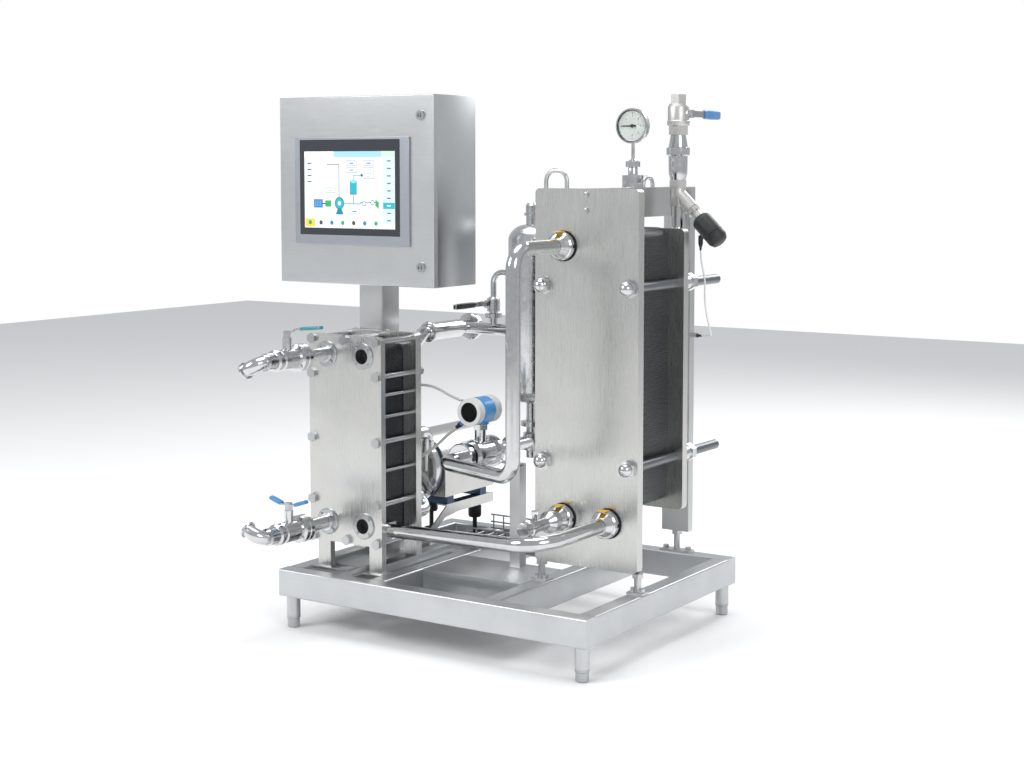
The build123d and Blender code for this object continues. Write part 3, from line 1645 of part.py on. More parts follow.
def cord_lines():
    """The points of each cord, from its own gland or fitting to the gland at its far end."""
    low_gland, side_gland = gland_lines()
    low_end = Vector(low_gland[1])
    low_run = (low_end - Vector(low_gland[0])).normalized()
    side_end = Vector(side_gland[1])
    side_run = (side_end - Vector(side_gland[0])).normalized()
    post_face = cabinet_post_x + cabinet_post_size / 2 + gland_length
    hose_start = Vector(air_port()[1])
    column_face = cooler_x + column_width / 2 + gland_length
    column_y = column_front_y + column_thickness / 2
    return {
        "meter_cable": [
            tuple(low_end),
            tuple(low_end + low_run * 60),
            (-206, -98, 516),
            (-270, -90, 478),
            (-318, cabinet_post_y, meter_gland_z),
            (post_face, cabinet_post_y, meter_gland_z),
        ],
        "signal_cable": [
            tuple(side_end),
            tuple(side_end + side_run * 56),
            (-212, -80, 694),
            (-268, -84, 700),
            (-322, cabinet_post_y, signal_gland_z),
            (post_face, cabinet_post_y, signal_gland_z),
        ],
        "air_hose": [
            tuple(hose_start),
            tuple(hose_start + Vector(0, 0, -45)),
            (506, 260, 1024),
            (500, 268, 962),
            (488, 310, 905),
            (470, 368, 862),
            (450, column_y, hose_gland_z),
            (column_face, column_y, hose_gland_z),
        ],
    }


def hose_gland():
    """The fitting on the side of the column that takes the air hose."""
    face_x = cooler_x + column_width / 2
    y = column_front_y + column_thickness / 2
    return hex_bar((face_x, y, hose_gland_z), (face_x + gland_length, y, hose_gland_z), 14)


def assemble():
    """Every named piece of the unit as a list of bodies."""
    cords = cord_lines()
    pieces = {
        "frame_tubes": base_frame() + foot_sleeves(),
        "deck": [deck(), drip_tray()],
        "support_rails": support_rails(),
        "chiller_front_plate": [chiller_front_plate()],
        "chiller_plate_pack": [chiller_plate_pack()],
        "chiller_pressure_plate": [chiller_pressure_plate()],
        "chiller_rear_plate": [chiller_rear_plate()],
        "chiller_tie_bolts": chiller_tie_bolts(),
        "chiller_port_rings": chiller_port_rings(),
        "cooler_front_plate": [cooler_front_plate()],
        "cooler_plate_pack": [cooler_plate_pack()],
        "cooler_follower": [cooler_follower()],
        "cooler_carry_bar": [cooler_carry_bar()] + lifting_eyes(),
        "cooler_supports": [cooler_column() + hose_gland()] + cooler_front_feet(),
        "cooler_tie_rods": cooler_tie_rods(),
        "cooler_nuts": cooler_nuts(),
        "port_gaskets": port_gaskets(),
        "port_unions": port_unions(),
        "pipe_upper": [pipe_upper()],
        "pipe_lower": [pipe_lower(), side_connection()],
        "drain_branch": [drain_branch()],
        "inlet_valve_body": [inlet_valve()],
        "inlet_valve_lever": [inlet_lever()],
        "outlet_valve_body": [outlet_valve()],
        "outlet_valve_handle": [outlet_handle()],
        "transfer_pipe": [transfer_pipe(), transfer_run(), strainer(), transfer_union()],
        "vent_branch": [vent_branch()],
        "vent_valve_lever": [vent_lever()],
        "vessel": [vessel(), vessel_outlet()],
        "piping_post": [piping_post()],
        "meter_sensor": [meter_sensor(), sensor_union()],
        "meter_head": [meter_head()],
        "sight_glasses": [meter_window(), gauge_glass()],
        "pump_volute": [pump_volute()] + pump_pipes(),
        "pump_impeller": [pump_impeller()],
        "pump_motor": [pump_motor()],
        "pump_shroud": [pump_shroud()],
        "pump_cradle": pump_cradle() + pump_feet(),
        "cable_tray": [cable_tray()],
        "stack_riser": [stack_pipe(), angle_valve(), stack_union()],
        "angle_valve_plug": [valve_plug()],
        "angle_actuator": [actuator()],
        "stack_valve_body": [stack_valve()],
        "stack_valve_lever": [stack_lever()],
        "gauge_body": [gauge_body()],
        "gauge_needle": [gauge_needle()],
        "cabinet_body": [cabinet_body()],
        "cabinet_door": [cabinet_door()],
        "door_lock_upper": [door_lock(lock_heights["upper"])],
        "door_lock_lower": [door_lock(lock_heights["lower"])],
        "hmi_bezel": [hmi_bezel()],
        "hmi_glass": [hmi_glass()],
        "cabinet_post": [cabinet_post()],
        "meter_cable": [cord("meter_cable", cords["meter_cable"], meter_cable_radius)],
        "signal_cable": [cord("signal_cable", cords["signal_cable"], signal_cable_radius)],
        "air_hose": [cord("air_hose", cords["air_hose"], air_hose_radius)],
    }
    for name, (x, y) in foot_places().items():
        pieces[name] = [levelling_foot(x, y)]
    return {name: [solid for body in bodies for solid in body.solids()] for name, bodies in pieces.items()}


parts = assemble()
rigid = [solid for name, solids in parts.items() if name not in cord_lines() for solid in solids]
bounds = Compound(rigid).bounding_box()
offset = Vector(-bounds.center().X, -bounds.center().Y, -bounds.min.Z)
print("size", [round(value, 2) for value in bounds.size], "offset", [round(value, 3) for value in offset])

os.makedirs("parts", exist_ok=True)
for name, solids in parts.items():
    moved = Compound([Pos(*offset) * solid for solid in solids])
    export_step(moved, f"parts/{name}.step")
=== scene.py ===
import json
from math import atan2, ceil, cos, hypot, pi, radians, sin

import bmesh
import bpy
from bpy.props import FloatProperty, FloatVectorProperty, IntProperty, PointerProperty
from mathutils import Matrix, Vector


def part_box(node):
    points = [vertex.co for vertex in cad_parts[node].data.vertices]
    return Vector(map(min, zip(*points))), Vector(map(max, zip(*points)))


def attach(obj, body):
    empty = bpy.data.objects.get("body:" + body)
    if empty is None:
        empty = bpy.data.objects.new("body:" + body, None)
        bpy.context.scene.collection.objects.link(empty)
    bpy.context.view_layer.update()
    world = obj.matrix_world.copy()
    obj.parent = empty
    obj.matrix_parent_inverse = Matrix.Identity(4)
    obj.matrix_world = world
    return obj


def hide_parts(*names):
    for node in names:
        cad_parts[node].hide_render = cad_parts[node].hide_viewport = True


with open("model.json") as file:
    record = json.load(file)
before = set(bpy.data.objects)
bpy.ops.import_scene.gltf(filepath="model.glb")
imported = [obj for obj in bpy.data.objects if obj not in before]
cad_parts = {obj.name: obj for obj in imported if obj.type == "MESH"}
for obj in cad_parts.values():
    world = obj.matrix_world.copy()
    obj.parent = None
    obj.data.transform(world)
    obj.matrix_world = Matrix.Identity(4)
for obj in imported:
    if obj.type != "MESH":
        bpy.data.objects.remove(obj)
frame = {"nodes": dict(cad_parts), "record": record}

bl_info = {
    "name": "Milk cooler looks",
    "version": (1, 0, 0),
    "blender": (4, 5, 0),
    "location": "View3D > Sidebar > Milk cooler",
    "description": "Finishes and fine pieces of a skid-mounted plate heat exchanger milk cooler",
    "category": "Object",
}

MM = 0.001
NODES = frame["nodes"]
BODIES = {node: body for body, held in frame["record"]["behaviour"]["bodies"].items() for node in held}
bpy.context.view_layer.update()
# Lengths and places below are in mm from the middle of the base frame, at floor level. It lies here.
SKID = Vector((74.718, 109.5, 0.0))


# Colours and shader nodes


def srgb(code, alpha=1.0):
    """A linear colour from an sRGB hex code."""
    values = []
    for index in (0, 2, 4):
        value = int(code.lstrip("#")[index : index + 2], 16) / 255
        values.append(value / 12.92 if value <= 0.04045 else ((value + 0.055) / 1.055) ** 2.4)
    return (*values, alpha)


def add_node(tree, kind, settings=None, links=None):
    """A node with its settings by name, its input values by socket, and its links by socket."""
    node = tree.nodes.new(kind)
    for key, value in (settings or {}).items():
        if isinstance(key, str) and hasattr(node, key):
            setattr(node, key, value)
        else:
            node.inputs[key].default_value = value
    for key, source in (links or {}).items():
        tree.links.new(source, node.inputs[key])
    return node


def new_material(name):
    """An empty node material: itself, its tree, its shader and its object coordinates."""
    material = bpy.data.materials.new(name)
    material.use_nodes = True
    tree = material.node_tree
    tree.nodes.clear()
    output = tree.nodes.new("ShaderNodeOutputMaterial")
    shader = tree.nodes.new("ShaderNodeBsdfPrincipled")
    tree.links.new(shader.outputs["BSDF"], output.inputs["Surface"])
    coordinates = tree.nodes.new("ShaderNodeTexCoord")
    return material, tree, shader, coordinates.outputs["Object"]


def ground_steel(name, colour, roughness, line_mm=0.8, along="Z", depth=0.25, shade=0.06):
    """Ground stainless steel: fine lines along one axis spread each highlight across the grain."""
    material, tree, shader, place = new_material(name)
    scale = [1 / (line_mm * MM)] * 3
    scale["XYZ".index(along)] /= 60
    stretched = add_node(tree, "ShaderNodeMapping", {"Scale": scale}, {"Vector": place})
    grain = add_node(
        tree,
        "ShaderNodeTexNoise",
        {"Scale": 1.0, "Detail": 4.0, "Roughness": 0.65},
        {"Vector": stretched.outputs[0]},
    ).outputs["Fac"]
    # Handling and cleaning leave patches about a hand wide, so a large sheet is never one even tone.
    patches = add_node(tree, "ShaderNodeTexNoise", {"Scale": 1 / (140 * MM), "Detail": 5.0}, {"Vector": place})
    patch = add_node(
        tree,
        "ShaderNodeMapRange",
        {"From Min": 0.3, "From Max": 0.7, "To Min": 1.0 - shade, "To Max": 1.0 + shade},
        {"Value": patches.outputs["Fac"]},
    )
    line = add_node(
        tree,
        "ShaderNodeMapRange",
        {"From Min": 0.25, "From Max": 0.75, "To Min": 0.94, "To Max": 1.05},
        {"Value": grain},
    )
    level = add_node(
        tree, "ShaderNodeMath", {"operation": "MULTIPLY"}, {0: patch.outputs[0], 1: line.outputs[0]}
    )
    base = add_node(
        tree, "ShaderNodeVectorMath", {"operation": "SCALE", 0: srgb(colour)[:3]}, {"Scale": level.outputs[0]}
    )
    rough = add_node(
        tree,
        "ShaderNodeMapRange",
        {"From Min": 0.2, "From Max": 0.8, "To Min": roughness * 0.8, "To Max": roughness * 1.3},
        {"Value": grain},
    )
    relief = add_node(tree, "ShaderNodeBump", {"Strength": depth, "Distance": 0.12 * MM}, {"Height": grain})
    shader.inputs["Metallic"].default_value = 1.0
    tree.links.new(base.outputs[0], shader.inputs["Base Color"])
    tree.links.new(rough.outputs[0], shader.inputs["Roughness"])
    tree.links.new(relief.outputs[0], shader.inputs["Normal"])
    return material


def polished_steel(name, colour, roughness, ripple_mm=30, ripple=0.12):
    """Mopped stainless steel: nearly a mirror, whose slow waves bend the reflections a little."""
    material, tree, shader, place = new_material(name)
    smears = add_node(tree, "ShaderNodeTexNoise", {"Scale": 1 / (18 * MM), "Detail": 6.0}, {"Vector": place})
    waves = add_node(
        tree, "ShaderNodeTexNoise", {"Scale": 1 / (ripple_mm * MM), "Detail": 2.0}, {"Vector": place}
    )
    level = add_node(
        tree,
        "ShaderNodeMapRange",
        {"From Min": 0.3, "From Max": 0.7, "To Min": 0.94, "To Max": 1.04},
        {"Value": smears.outputs["Fac"]},
    )
    base = add_node(
        tree, "ShaderNodeVectorMath", {"operation": "SCALE", 0: srgb(colour)[:3]}, {"Scale": level.outputs[0]}
    )
    rough = add_node(
        tree,
        "ShaderNodeMapRange",
        {"From Min": 0.35, "From Max": 0.75, "To Min": roughness, "To Max": roughness * 2.2},
        {"Value": smears.outputs["Fac"]},
    )
    relief = add_node(
        tree, "ShaderNodeBump", {"Strength": ripple, "Distance": 1.0 * MM}, {"Height": waves.outputs["Fac"]}
    )
    shader.inputs["Metallic"].default_value = 1.0
    tree.links.new(base.outputs[0], shader.inputs["Base Color"])
    tree.links.new(rough.outputs[0], shader.inputs["Roughness"])
    tree.links.new(relief.outputs[0], shader.inputs["Normal"])
    return material


def coated(name, colour, roughness, grit_mm=0.9, depth=0.2, coat=0.0, shade=0.08):
    """Paint, plastic or rubber: a fine skin breaks the highlight, and handling makes its gloss uneven."""
    material, tree, shader, place = new_material(name)
    wear = add_node(tree, "ShaderNodeTexNoise", {"Scale": 1 / (35 * MM), "Detail": 5.0}, {"Vector": place})
    grit = add_node(tree, "ShaderNodeTexNoise", {"Scale": 1 / (grit_mm * MM), "Detail": 2.0}, {"Vector": place})
    level = add_node(
        tree,
        "ShaderNodeMapRange",
        {"From Min": 0.3, "From Max": 0.7, "To Min": 1.0 - shade, "To Max": 1.0 + shade},
        {"Value": wear.outputs["Fac"]},
    )
    base = add_node(
        tree, "ShaderNodeVectorMath", {"operation": "SCALE", 0: srgb(colour)[:3]}, {"Scale": level.outputs[0]}
    )
    rough = add_node(
        tree,
        "ShaderNodeMapRange",
        {"From Min": 0.3, "From Max": 0.7, "To Min": roughness * 0.85, "To Max": roughness * 1.2},
        {"Value": wear.outputs["Fac"]},
    )
    relief = add_node(
        tree, "ShaderNodeBump", {"Strength": depth, "Distance": 0.1 * MM}, {"Height": grit.outputs["Fac"]}
    )
    shader.inputs["Coat Weight"].default_value = coat
    tree.links.new(base.outputs[0], shader.inputs["Base Color"])
    tree.links.new(rough.outputs[0], shader.inputs["Roughness"])
    tree.links.new(relief.outputs[0], shader.inputs["Normal"])
    return material


def clear_glass(name):
    """Float glass, cut flat: clear, with a trace of dust that dulls its gloss in places."""
    material, tree, shader, place = new_material(name)
    dust = add_node(tree, "ShaderNodeTexNoise", {"Scale": 1 / (12 * MM), "Detail": 4.0}, {"Vector": place})
    rough = add_node(
        tree,
        "ShaderNodeMapRange",
        {"From Min": 0.4, "From Max": 0.8, "To Min": 0.0, "To Max": 0.08},
        {"Value": dust.outputs["Fac"]},
    )
    shader.inputs["Base Color"].default_value = srgb("#F4F8F7")
    shader.inputs["Transmission Weight"].default_value = 1.0
    shader.inputs["IOR"].default_value = 1.2
    tree.links.new(rough.outputs[0], shader.inputs["Roughness"])
    return material


def lit_picture(name):
    """A lit liquid crystal panel behind glass: its colours come from the mesh and glow a little."""
    material, tree, shader, place = new_material(name)
    drawn = add_node(tree, "ShaderNodeAttribute", {"attribute_name": "picture"})
    pixels = add_node(tree, "ShaderNodeTexNoise", {"Scale": 1 / (0.6 * MM), "Detail": 1.0}, {"Vector": place})
    # The real grid of 0.3 mm is too fine to show, so a grain of twice that stands for it.
    level = add_node(
        tree,
        "ShaderNodeMapRange",
        {"From Min": 0.3, "From Max": 0.7, "To Min": 0.97, "To Max": 1.02},
        {"Value": pixels.outputs["Fac"]},
    )
    lit = add_node(
        tree,
        "ShaderNodeVectorMath",
        {"operation": "SCALE"},
        {0: drawn.outputs["Color"], "Scale": level.outputs[0]},
    )
    shader.inputs["Roughness"].default_value = 0.16
    shader.inputs["Emission Strength"].default_value = 0.35
    tree.links.new(lit.outputs[0], shader.inputs["Base Color"])
    tree.links.new(lit.outputs[0], shader.inputs["Emission Color"])
    return material


FINISHES = {}


def make_finishes(polish):
    """Every finish of the unit by its short name. polish scales the gloss of the bright pieces."""
    FINISHES.update(
        frame=ground_steel("satin_stainless_tube", "#C9CBCC", 0.34, 1.2, "X", 0.20),
        frame_cross=ground_steel("satin_stainless_strip", "#C4C6C7", 0.36, 1.2, "Y", 0.20),
        post=ground_steel("satin_stainless_upright", "#C9CACA", 0.32, 1.0, "Z", 0.20),
        cover=ground_steel("brushed_stainless_cover", "#CDCDCA", 0.27, 1.0, "Z", 0.16, 0.05),
        cabinet=ground_steel("brushed_stainless_case", "#CFD1D2", 0.32, 0.7, "X", 0.12, 0.03),
        pack=ground_steel("pressed_stainless_plates", "#8D9092", 0.36, 1.6, "X", 0.30, 0.12),
        dark_pack=ground_steel("gasketed_plate_edges", "#74777A", 0.38, 1.4, "X", 0.30, 0.15),
        pressure=coated("dark_pressure_plate_paint", "#3A3C3F", 0.35, 1.2, 0.2, 0.3),
        pipe=polished_steel("polished_dairy_pipe", "#CFD0D0", 0.07 * polish),
        bright=polished_steel("polished_stainless_fitting", "#D2D3D4", 0.10 * polish, 14, 0.15),
        vessel=polished_steel("polished_stainless_vessel", "#D6D7D8", 0.17 * polish, 60, 0.06),
        bolt=ground_steel("turned_stainless_fastener", "#B9BBBC", 0.27, 0.6, "Y", 0.25, 0.10),
        rod=ground_steel("oiled_steel_rod", "#808386", 0.33, 0.9, "Z", 0.3, 0.15),
        cast=ground_steel("pickled_stainless_casting", "#D4D3CF", 0.42, 2.2, "Z", 0.3, 0.05),
        blue_paint=coated("blue_instrument_paint", "#3E93D4", 0.38, 1.0, 0.2, 0.4, 0.05),
        motor_paint=coated("dark_blue_motor_paint", "#2C4A74", 0.40, 1.2, 0.25, 0.2),
        black=coated("black_glass_filled_nylon", "#2A2B2E", 0.46, 0.8, 0.3),
        rubber=coated("black_gasket_rubber", "#17181A", 0.62, 0.7, 0.3),
        grip_blue=coated("blue_dipped_vinyl", "#4C8CC8", 0.34, 1.1, 0.15, 0.2),
        grip_teal=coated("teal_dipped_vinyl", "#3C8C9A", 0.34, 1.1, 0.15, 0.2),
        grip_black=coated("black_dipped_vinyl", "#1F2022", 0.36, 1.1, 0.15, 0.2),
        bezel=ground_steel("anodised_aluminium_bezel", "#AEB3BA", 0.38, 0.5, "X", 0.1, 0.02),
        screen=coated("dark_panel_glass", "#34383E", 0.14, 2.0, 0.0, 0.5, 0.02),
        picture=lit_picture("lit_panel_picture"),
        glass=clear_glass("instrument_glass"),
        white=coated("white_pvc", "#DADBD9", 0.45, 1.0, 0.15, 0.0, 0.04),
        dial=coated("white_dial_card", "#F1F1EE", 0.50, 1.0, 0.0, 0.0, 0.02),
        ink=coated("printed_black_ink", "#2A2B2D", 0.60, 1.0, 0.0, 0.0, 0.02),
        hose=coated("white_polyamide_hose", "#E4E6E6", 0.30, 1.0, 0.1, 0.2, 0.03),
        patch=coated("grey_printed_patch", "#A9ABAE", 0.50, 1.0, 0.1, 0.0, 0.03),
        tag=coated("yellow_flow_tag", "#E2B93A", 0.50, 1.0, 0.1, 0.0, 0.05),
    )


# Meshes and pieces


def islands(solid):
    """The separate shells of a bmesh, as lists of vertices."""
    left = set(solid.verts)
    found = []
    while left:
        shell = [left.pop()]
        for vert in shell:
            near = {edge.other_vert(vert) for edge in vert.link_edges} & left
            left -= near
            shell.extend(near)
        found.append(shell)
    return found


def span(verts):
    """Lowest and highest corner of some vertices, in mm from the middle of the base frame."""
    corners = [[pick(vert.co[axis] for vert in verts) / MM - SKID[axis] for axis in range(3)] for pick in (min, max)]
    return Vector(corners[0]), Vector(corners[1])


def joined_copy(node, keep=None):
    """A CAD node's surface with its triangles joined up: whole, or the shells whose span passes keep."""
    solid = bmesh.new()
    solid.from_mesh(NODES[node].data)
    solid.transform(NODES[node].matrix_world)
    bmesh.ops.remove_doubles(solid, verts=solid.verts, dist=0.001 * MM)
    if keep:
        dropped = [shell for shell in islands(solid) if not keep(*span(shell))]
        for shell in dropped:
            bmesh.ops.delete(solid, geom=shell, context="VERTS")
    return solid


def soften(solid, width_mm, from_degrees=40):
    """Breaks the sharp edges of a plain solid with a small round."""
    flat = radians(0.5)
    bmesh.ops.dissolve_limit(solid, angle_limit=flat, verts=solid.verts, edges=solid.edges)
    limit = radians(from_degrees)
    sharp = [edge for edge in solid.edges if len(edge.link_faces) == 2 and edge.calc_face_angle(0.0) > limit]
    bmesh.ops.bevel(
        solid,
        geom=sharp,
        offset=width_mm * MM,
        offset_type="OFFSET",
        segments=2,
        profile=0.5,
        affect="EDGES",
        clamp_overlap=True,
        material=-1,
    )


def piece(name, solid, finish, body, replaced=(), smooth_to=32):
    """A finished piece from a bmesh. Edges up to smooth_to degrees are shaded round, the rest stay crisp."""
    limit = radians(smooth_to)
    for face in solid.faces:
        face.smooth = True
    for edge in solid.edges:
        edge.smooth = len(edge.link_faces) == 2 and edge.calc_face_angle(0.0) < limit
    mesh = bpy.data.meshes.new(name)
    solid.to_mesh(mesh)
    solid.free()
    mesh.materials.append(FINISHES[finish])
    obj = bpy.data.objects.new(name, mesh)
    bpy.context.scene.collection.objects.link(obj)
    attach(obj, body)
    if replaced:
        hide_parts(*replaced)
    return obj


def dress(node, finish, bevel=0.0, keep=None, name=None):
    """The finished surface of a CAD node, or of some of its shells, in its place."""
    solid = joined_copy(node, keep)
    if bevel:
        soften(solid, bevel)
    return piece(name or f"{node}_finished", solid, finish, BODIES[node], [node])


def at(x, y, z):
    """A point of the unit, in metres in the row frame."""
    return (Vector((x, y, z)) + SKID) * MM


def turned(profile, base, axis, steps=48):
    """A closed turned surface: (radius, height) points about the axis from base."""
    solid = bmesh.new()
    points = [solid.verts.new((radius * MM, 0, height * MM)) for radius, height in profile]
    lines = [solid.edges.new(pair) for pair in zip(points, points[1:])]
    bmesh.ops.spin(
        solid, geom=points + lines, cent=(0, 0, 0), axis=(0, 0, 1), angle=2 * pi, steps=steps, use_merge=True
    )
    bmesh.ops.remove_doubles(solid, verts=solid.verts, dist=0.001 * MM)
    bmesh.ops.recalc_face_normals(solid, faces=solid.faces)
    turn = Vector(axis).to_track_quat("Z", "Y").to_matrix().to_4x4()
    solid.transform(Matrix.Translation(at(*base)) @ turn)
    return solid


def block(low, high, round_mm=0.0):
    """A box from corner to corner, with rounded edges."""
    solid = bmesh.new()
    bmesh.ops.create_cube(solid, size=1.0)
    low = at(*low)
    high = at(*high)
    bmesh.ops.scale(solid, vec=high - low, verts=solid.verts)
    bmesh.ops.translate(solid, vec=(low + high) / 2, verts=solid.verts)
    if round_mm:
        soften(solid, round_mm)
    return solid


def join(solids):
    """Several bmeshes as one."""
    whole = bmesh.new()
    for solid in solids:
        part = bpy.data.meshes.new("part")
        solid.to_mesh(part)
        solid.free()
        whole.from_mesh(part)
        bpy.data.meshes.remove(part)
    return whole


def sleeve(start, end, width, thickness, side, bulge=1.06):
    """A moulded sleeve over a flat lever: an oval section that swells a little and closes round at its ends."""
    axis = (Vector(end) - Vector(start)).normalized()
    side = Vector(side)
    up = axis.cross(side).normalized()
    side = up.cross(axis).normalized()
    length = (Vector(end) - Vector(start)).length
    solid = bmesh.new()
    rings = []
    stations = [(0.0, 0.72), (0.02, 0.92), (0.06, 1.0), (0.5, bulge), (0.93, 1.0), (0.98, 0.85), (1.0, 0.55)]
    for share, size in stations:
        ring = []
        for step in range(28):
            turn = 2 * pi * step / 28
            # A superellipse: rounder than a box, flatter than an oval.
            across = abs(cos(turn)) ** 0.6 * (1 if cos(turn) >= 0 else -1)
            out = abs(sin(turn)) ** 0.6 * (1 if sin(turn) >= 0 else -1)
            point = Vector(start) + axis * length * share + side * across * width / 2 * size + up * out * thickness / 2 * size
            ring.append(solid.verts.new(at(*point)))
        rings.append(ring)
    for first, second in zip(rings, rings[1:]):
        for index in range(28):
            after = (index + 1) % 28
            solid.faces.new((first[index], first[after], second[after], second[index]))
    solid.faces.new(rings[0])
    solid.faces.new(rings[-1])
    bmesh.ops.recalc_face_normals(solid, faces=solid.faces)
    return solid


# Pieces that the CAD solids only stand in for


def rim_points(half_width, low, high, corner, step):
    """Evenly spaced (x, z) points round an upright plate with rounded corners, an even number of them."""
    straight_x = 2 * (half_width - corner)
    straight_z = high - low - 2 * corner
    arc = corner * pi / 2
    around = 2 * (straight_x + straight_z) + 4 * arc
    count = 2 * ceil(around / step / 2)
    centres = [
        (half_width - corner, high - corner),
        (corner - half_width, high - corner),
        (corner - half_width, low + corner),
        (half_width - corner, low + corner),
    ]
    points = []
    for index in range(count):
        left = around * index / count
        for quarter, (x, z) in enumerate(centres):
            turn = quarter * pi / 2
            if left <= arc:
                angle = turn + left / corner
                points.append((x + corner * cos(angle), z + corner * sin(angle)))
                break
            left -= arc
            run = straight_x if quarter % 2 == 0 else straight_z
            if left <= run:
                edge_x = x + corner * cos(turn + pi / 2) - left * cos(turn)
                edge_z = z + corner * sin(turn + pi / 2) - left * sin(turn)
                points.append((edge_x, edge_z))
                break
            left -= run
    return points


def pressed_plates(middle_x, half_width, low, high, corner, front, depth, pitch, wave, band=7.0):
    """The rims of a pack of pressed plates: each rim zigzags, and its neighbours zigzag the other way."""
    pack = bmesh.new()
    outline = rim_points(half_width, low, high, corner, wave / 2)
    middle_z = (low + high) / 2
    count = round(depth / pitch)
    swing = pitch * 0.34
    for layer in range(count):
        y = front + pitch * (layer + 0.5)
        rings = []
        for inset in (0.0, band):
            shrink_x = (half_width - inset) / half_width
            shrink_z = (middle_z - low - inset) / (middle_z - low)
            ring = []
            for index, (x, z) in enumerate(outline):
                swung = swing if (index + layer) % 2 else -swing
                place = at(middle_x + x * shrink_x, y + swung, middle_z + (z - middle_z) * shrink_z)
                ring.append(pack.verts.new(place))
            rings.append([pack.edges.new((ring[index - 1], ring[index])) for index in range(len(ring))])
        bmesh.ops.bridge_loops(pack, edges=rings[0] + rings[1])
    bmesh.ops.recalc_face_normals(pack, faces=pack.faces)
    bmesh.ops.solidify(pack, geom=pack.faces, thickness=0.28 * pitch * MM)
    return pack


def plate_core(middle_x, half_width, low, high, corner, front, depth):
    """The dark gaskets and channels behind the rims of a pack."""
    core = bmesh.new()
    outline = rim_points(half_width, low, high, corner, 14)
    face = core.faces.new([core.verts.new(at(middle_x + x, front, z)) for x, z in outline])
    moved = bmesh.ops.extrude_face_region(core, geom=[face])["geom"]
    corners = [item for item in moved if isinstance(item, bmesh.types.BMVert)]
    bmesh.ops.translate(core, vec=(0, depth * MM, 0), verts=corners)
    bmesh.ops.recalc_face_normals(core, faces=core.faces)
    return core


def slice_of(node, low_y, high_y):
    """The part of a CAD node's surface between two planes across the depth, with closed ends."""
    solid = joined_copy(node)
    for y, way in ((low_y, 1), (high_y, -1)):
        geometry = solid.verts[:] + solid.edges[:] + solid.faces[:]
        bmesh.ops.bisect_plane(
            solid, geom=geometry, dist=0.0005 * MM, plane_co=at(0, y, 0), plane_no=(0, way, 0), clear_inner=True
        )
        bmesh.ops.holes_fill(solid, edges=[edge for edge in solid.edges if edge.is_boundary], sides=0)
    bmesh.ops.recalc_face_normals(solid, faces=solid.faces)
    return solid


def hex_head(base, axis, across, height, collar=0.0):
    """A hexagon screw head with chamfered corners, on a collar where it has one."""
    head = bmesh.new()
    bmesh.ops.create_cone(
        head,
        cap_ends=True,
        cap_tris=False,
        segments=6,
        radius1=across / 2 / cos(pi / 6) * MM,
        radius2=across / 2 / cos(pi / 6) * MM,
        depth=height * MM,
    )
    bmesh.ops.translate(head, vec=(0, 0, height / 2 * MM), verts=head.verts)
    top = [edge for edge in head.edges if all(vert.co.z > height * 0.9 * MM for vert in edge.verts)]
    bmesh.ops.bevel(
        head,
        geom=top,
        offset=across * 0.05 * MM,
        offset_type="OFFSET",
        segments=2,
        profile=0.5,
        affect="EDGES",
        clamp_overlap=True,
        material=-1,
    )
    turn = Vector(axis).to_track_quat("Z", "Y").to_matrix().to_4x4()
    head.transform(Matrix.Translation(at(*base)) @ turn)
    if collar:
        washer = turned([(0, 0), (collar, 0), (collar, 1.2), (collar - 0.4, 1.6), (0, 1.6)], base, axis, 32)
        return join([head, washer])
    return head


# The operator panel's picture


PICTURE_LEFT = -618.0
PICTURE_TOP = 1396.0
PICTURE_WIDTH = 343.0
PICTURE_HEIGHT = 229.0


class Picture:
    """Flat coloured shapes in layers on the panel's glass, placed in shares of the picture from its top left."""

    def __init__(self, front):
        self.solid = bmesh.new()
        self.colours = self.solid.loops.layers.float_color.new("picture")
        self.front = front
        self.layer = 0

    def outline(self, points, colour):
        """A filled outline of (across, down) points."""
        self.layer += 1
        y = self.front - 0.05 - 0.004 * self.layer
        corners = []
        for across, down in points:
            x = PICTURE_LEFT + across * PICTURE_WIDTH
            corners.append(self.solid.verts.new(at(x, y, PICTURE_TOP - down * PICTURE_HEIGHT)))
        face = self.solid.faces.new(corners)
        for loop in face.loops:
            loop[self.colours] = srgb(colour)

    def box(self, left, top, right, bottom, colour):
        """A filled box, wound to face the front."""
        self.outline([(left, top), (left, bottom), (right, bottom), (right, top)], colour)

    def oval(self, across, down, wide, high, colour, steps=28):
        """A filled oval by its middle and half sizes."""
        turns = [-2 * pi * step / steps for step in range(steps)]
        self.outline([(across + wide * cos(turn), down - high * -sin(turn)) for turn in turns], colour)

    def pipe(self, points, colour, width=0.006):
        """A line of straight runs of even width."""
        for (x, z), (to_x, to_z) in zip(points, points[1:]):
            tall = width * PICTURE_WIDTH / PICTURE_HEIGHT
            left, right = sorted((x, to_x))
            top, bottom = sorted((z, to_z))
            self.box(left - width / 2, top - tall / 2, right + width / 2, bottom + tall / 2, colour)


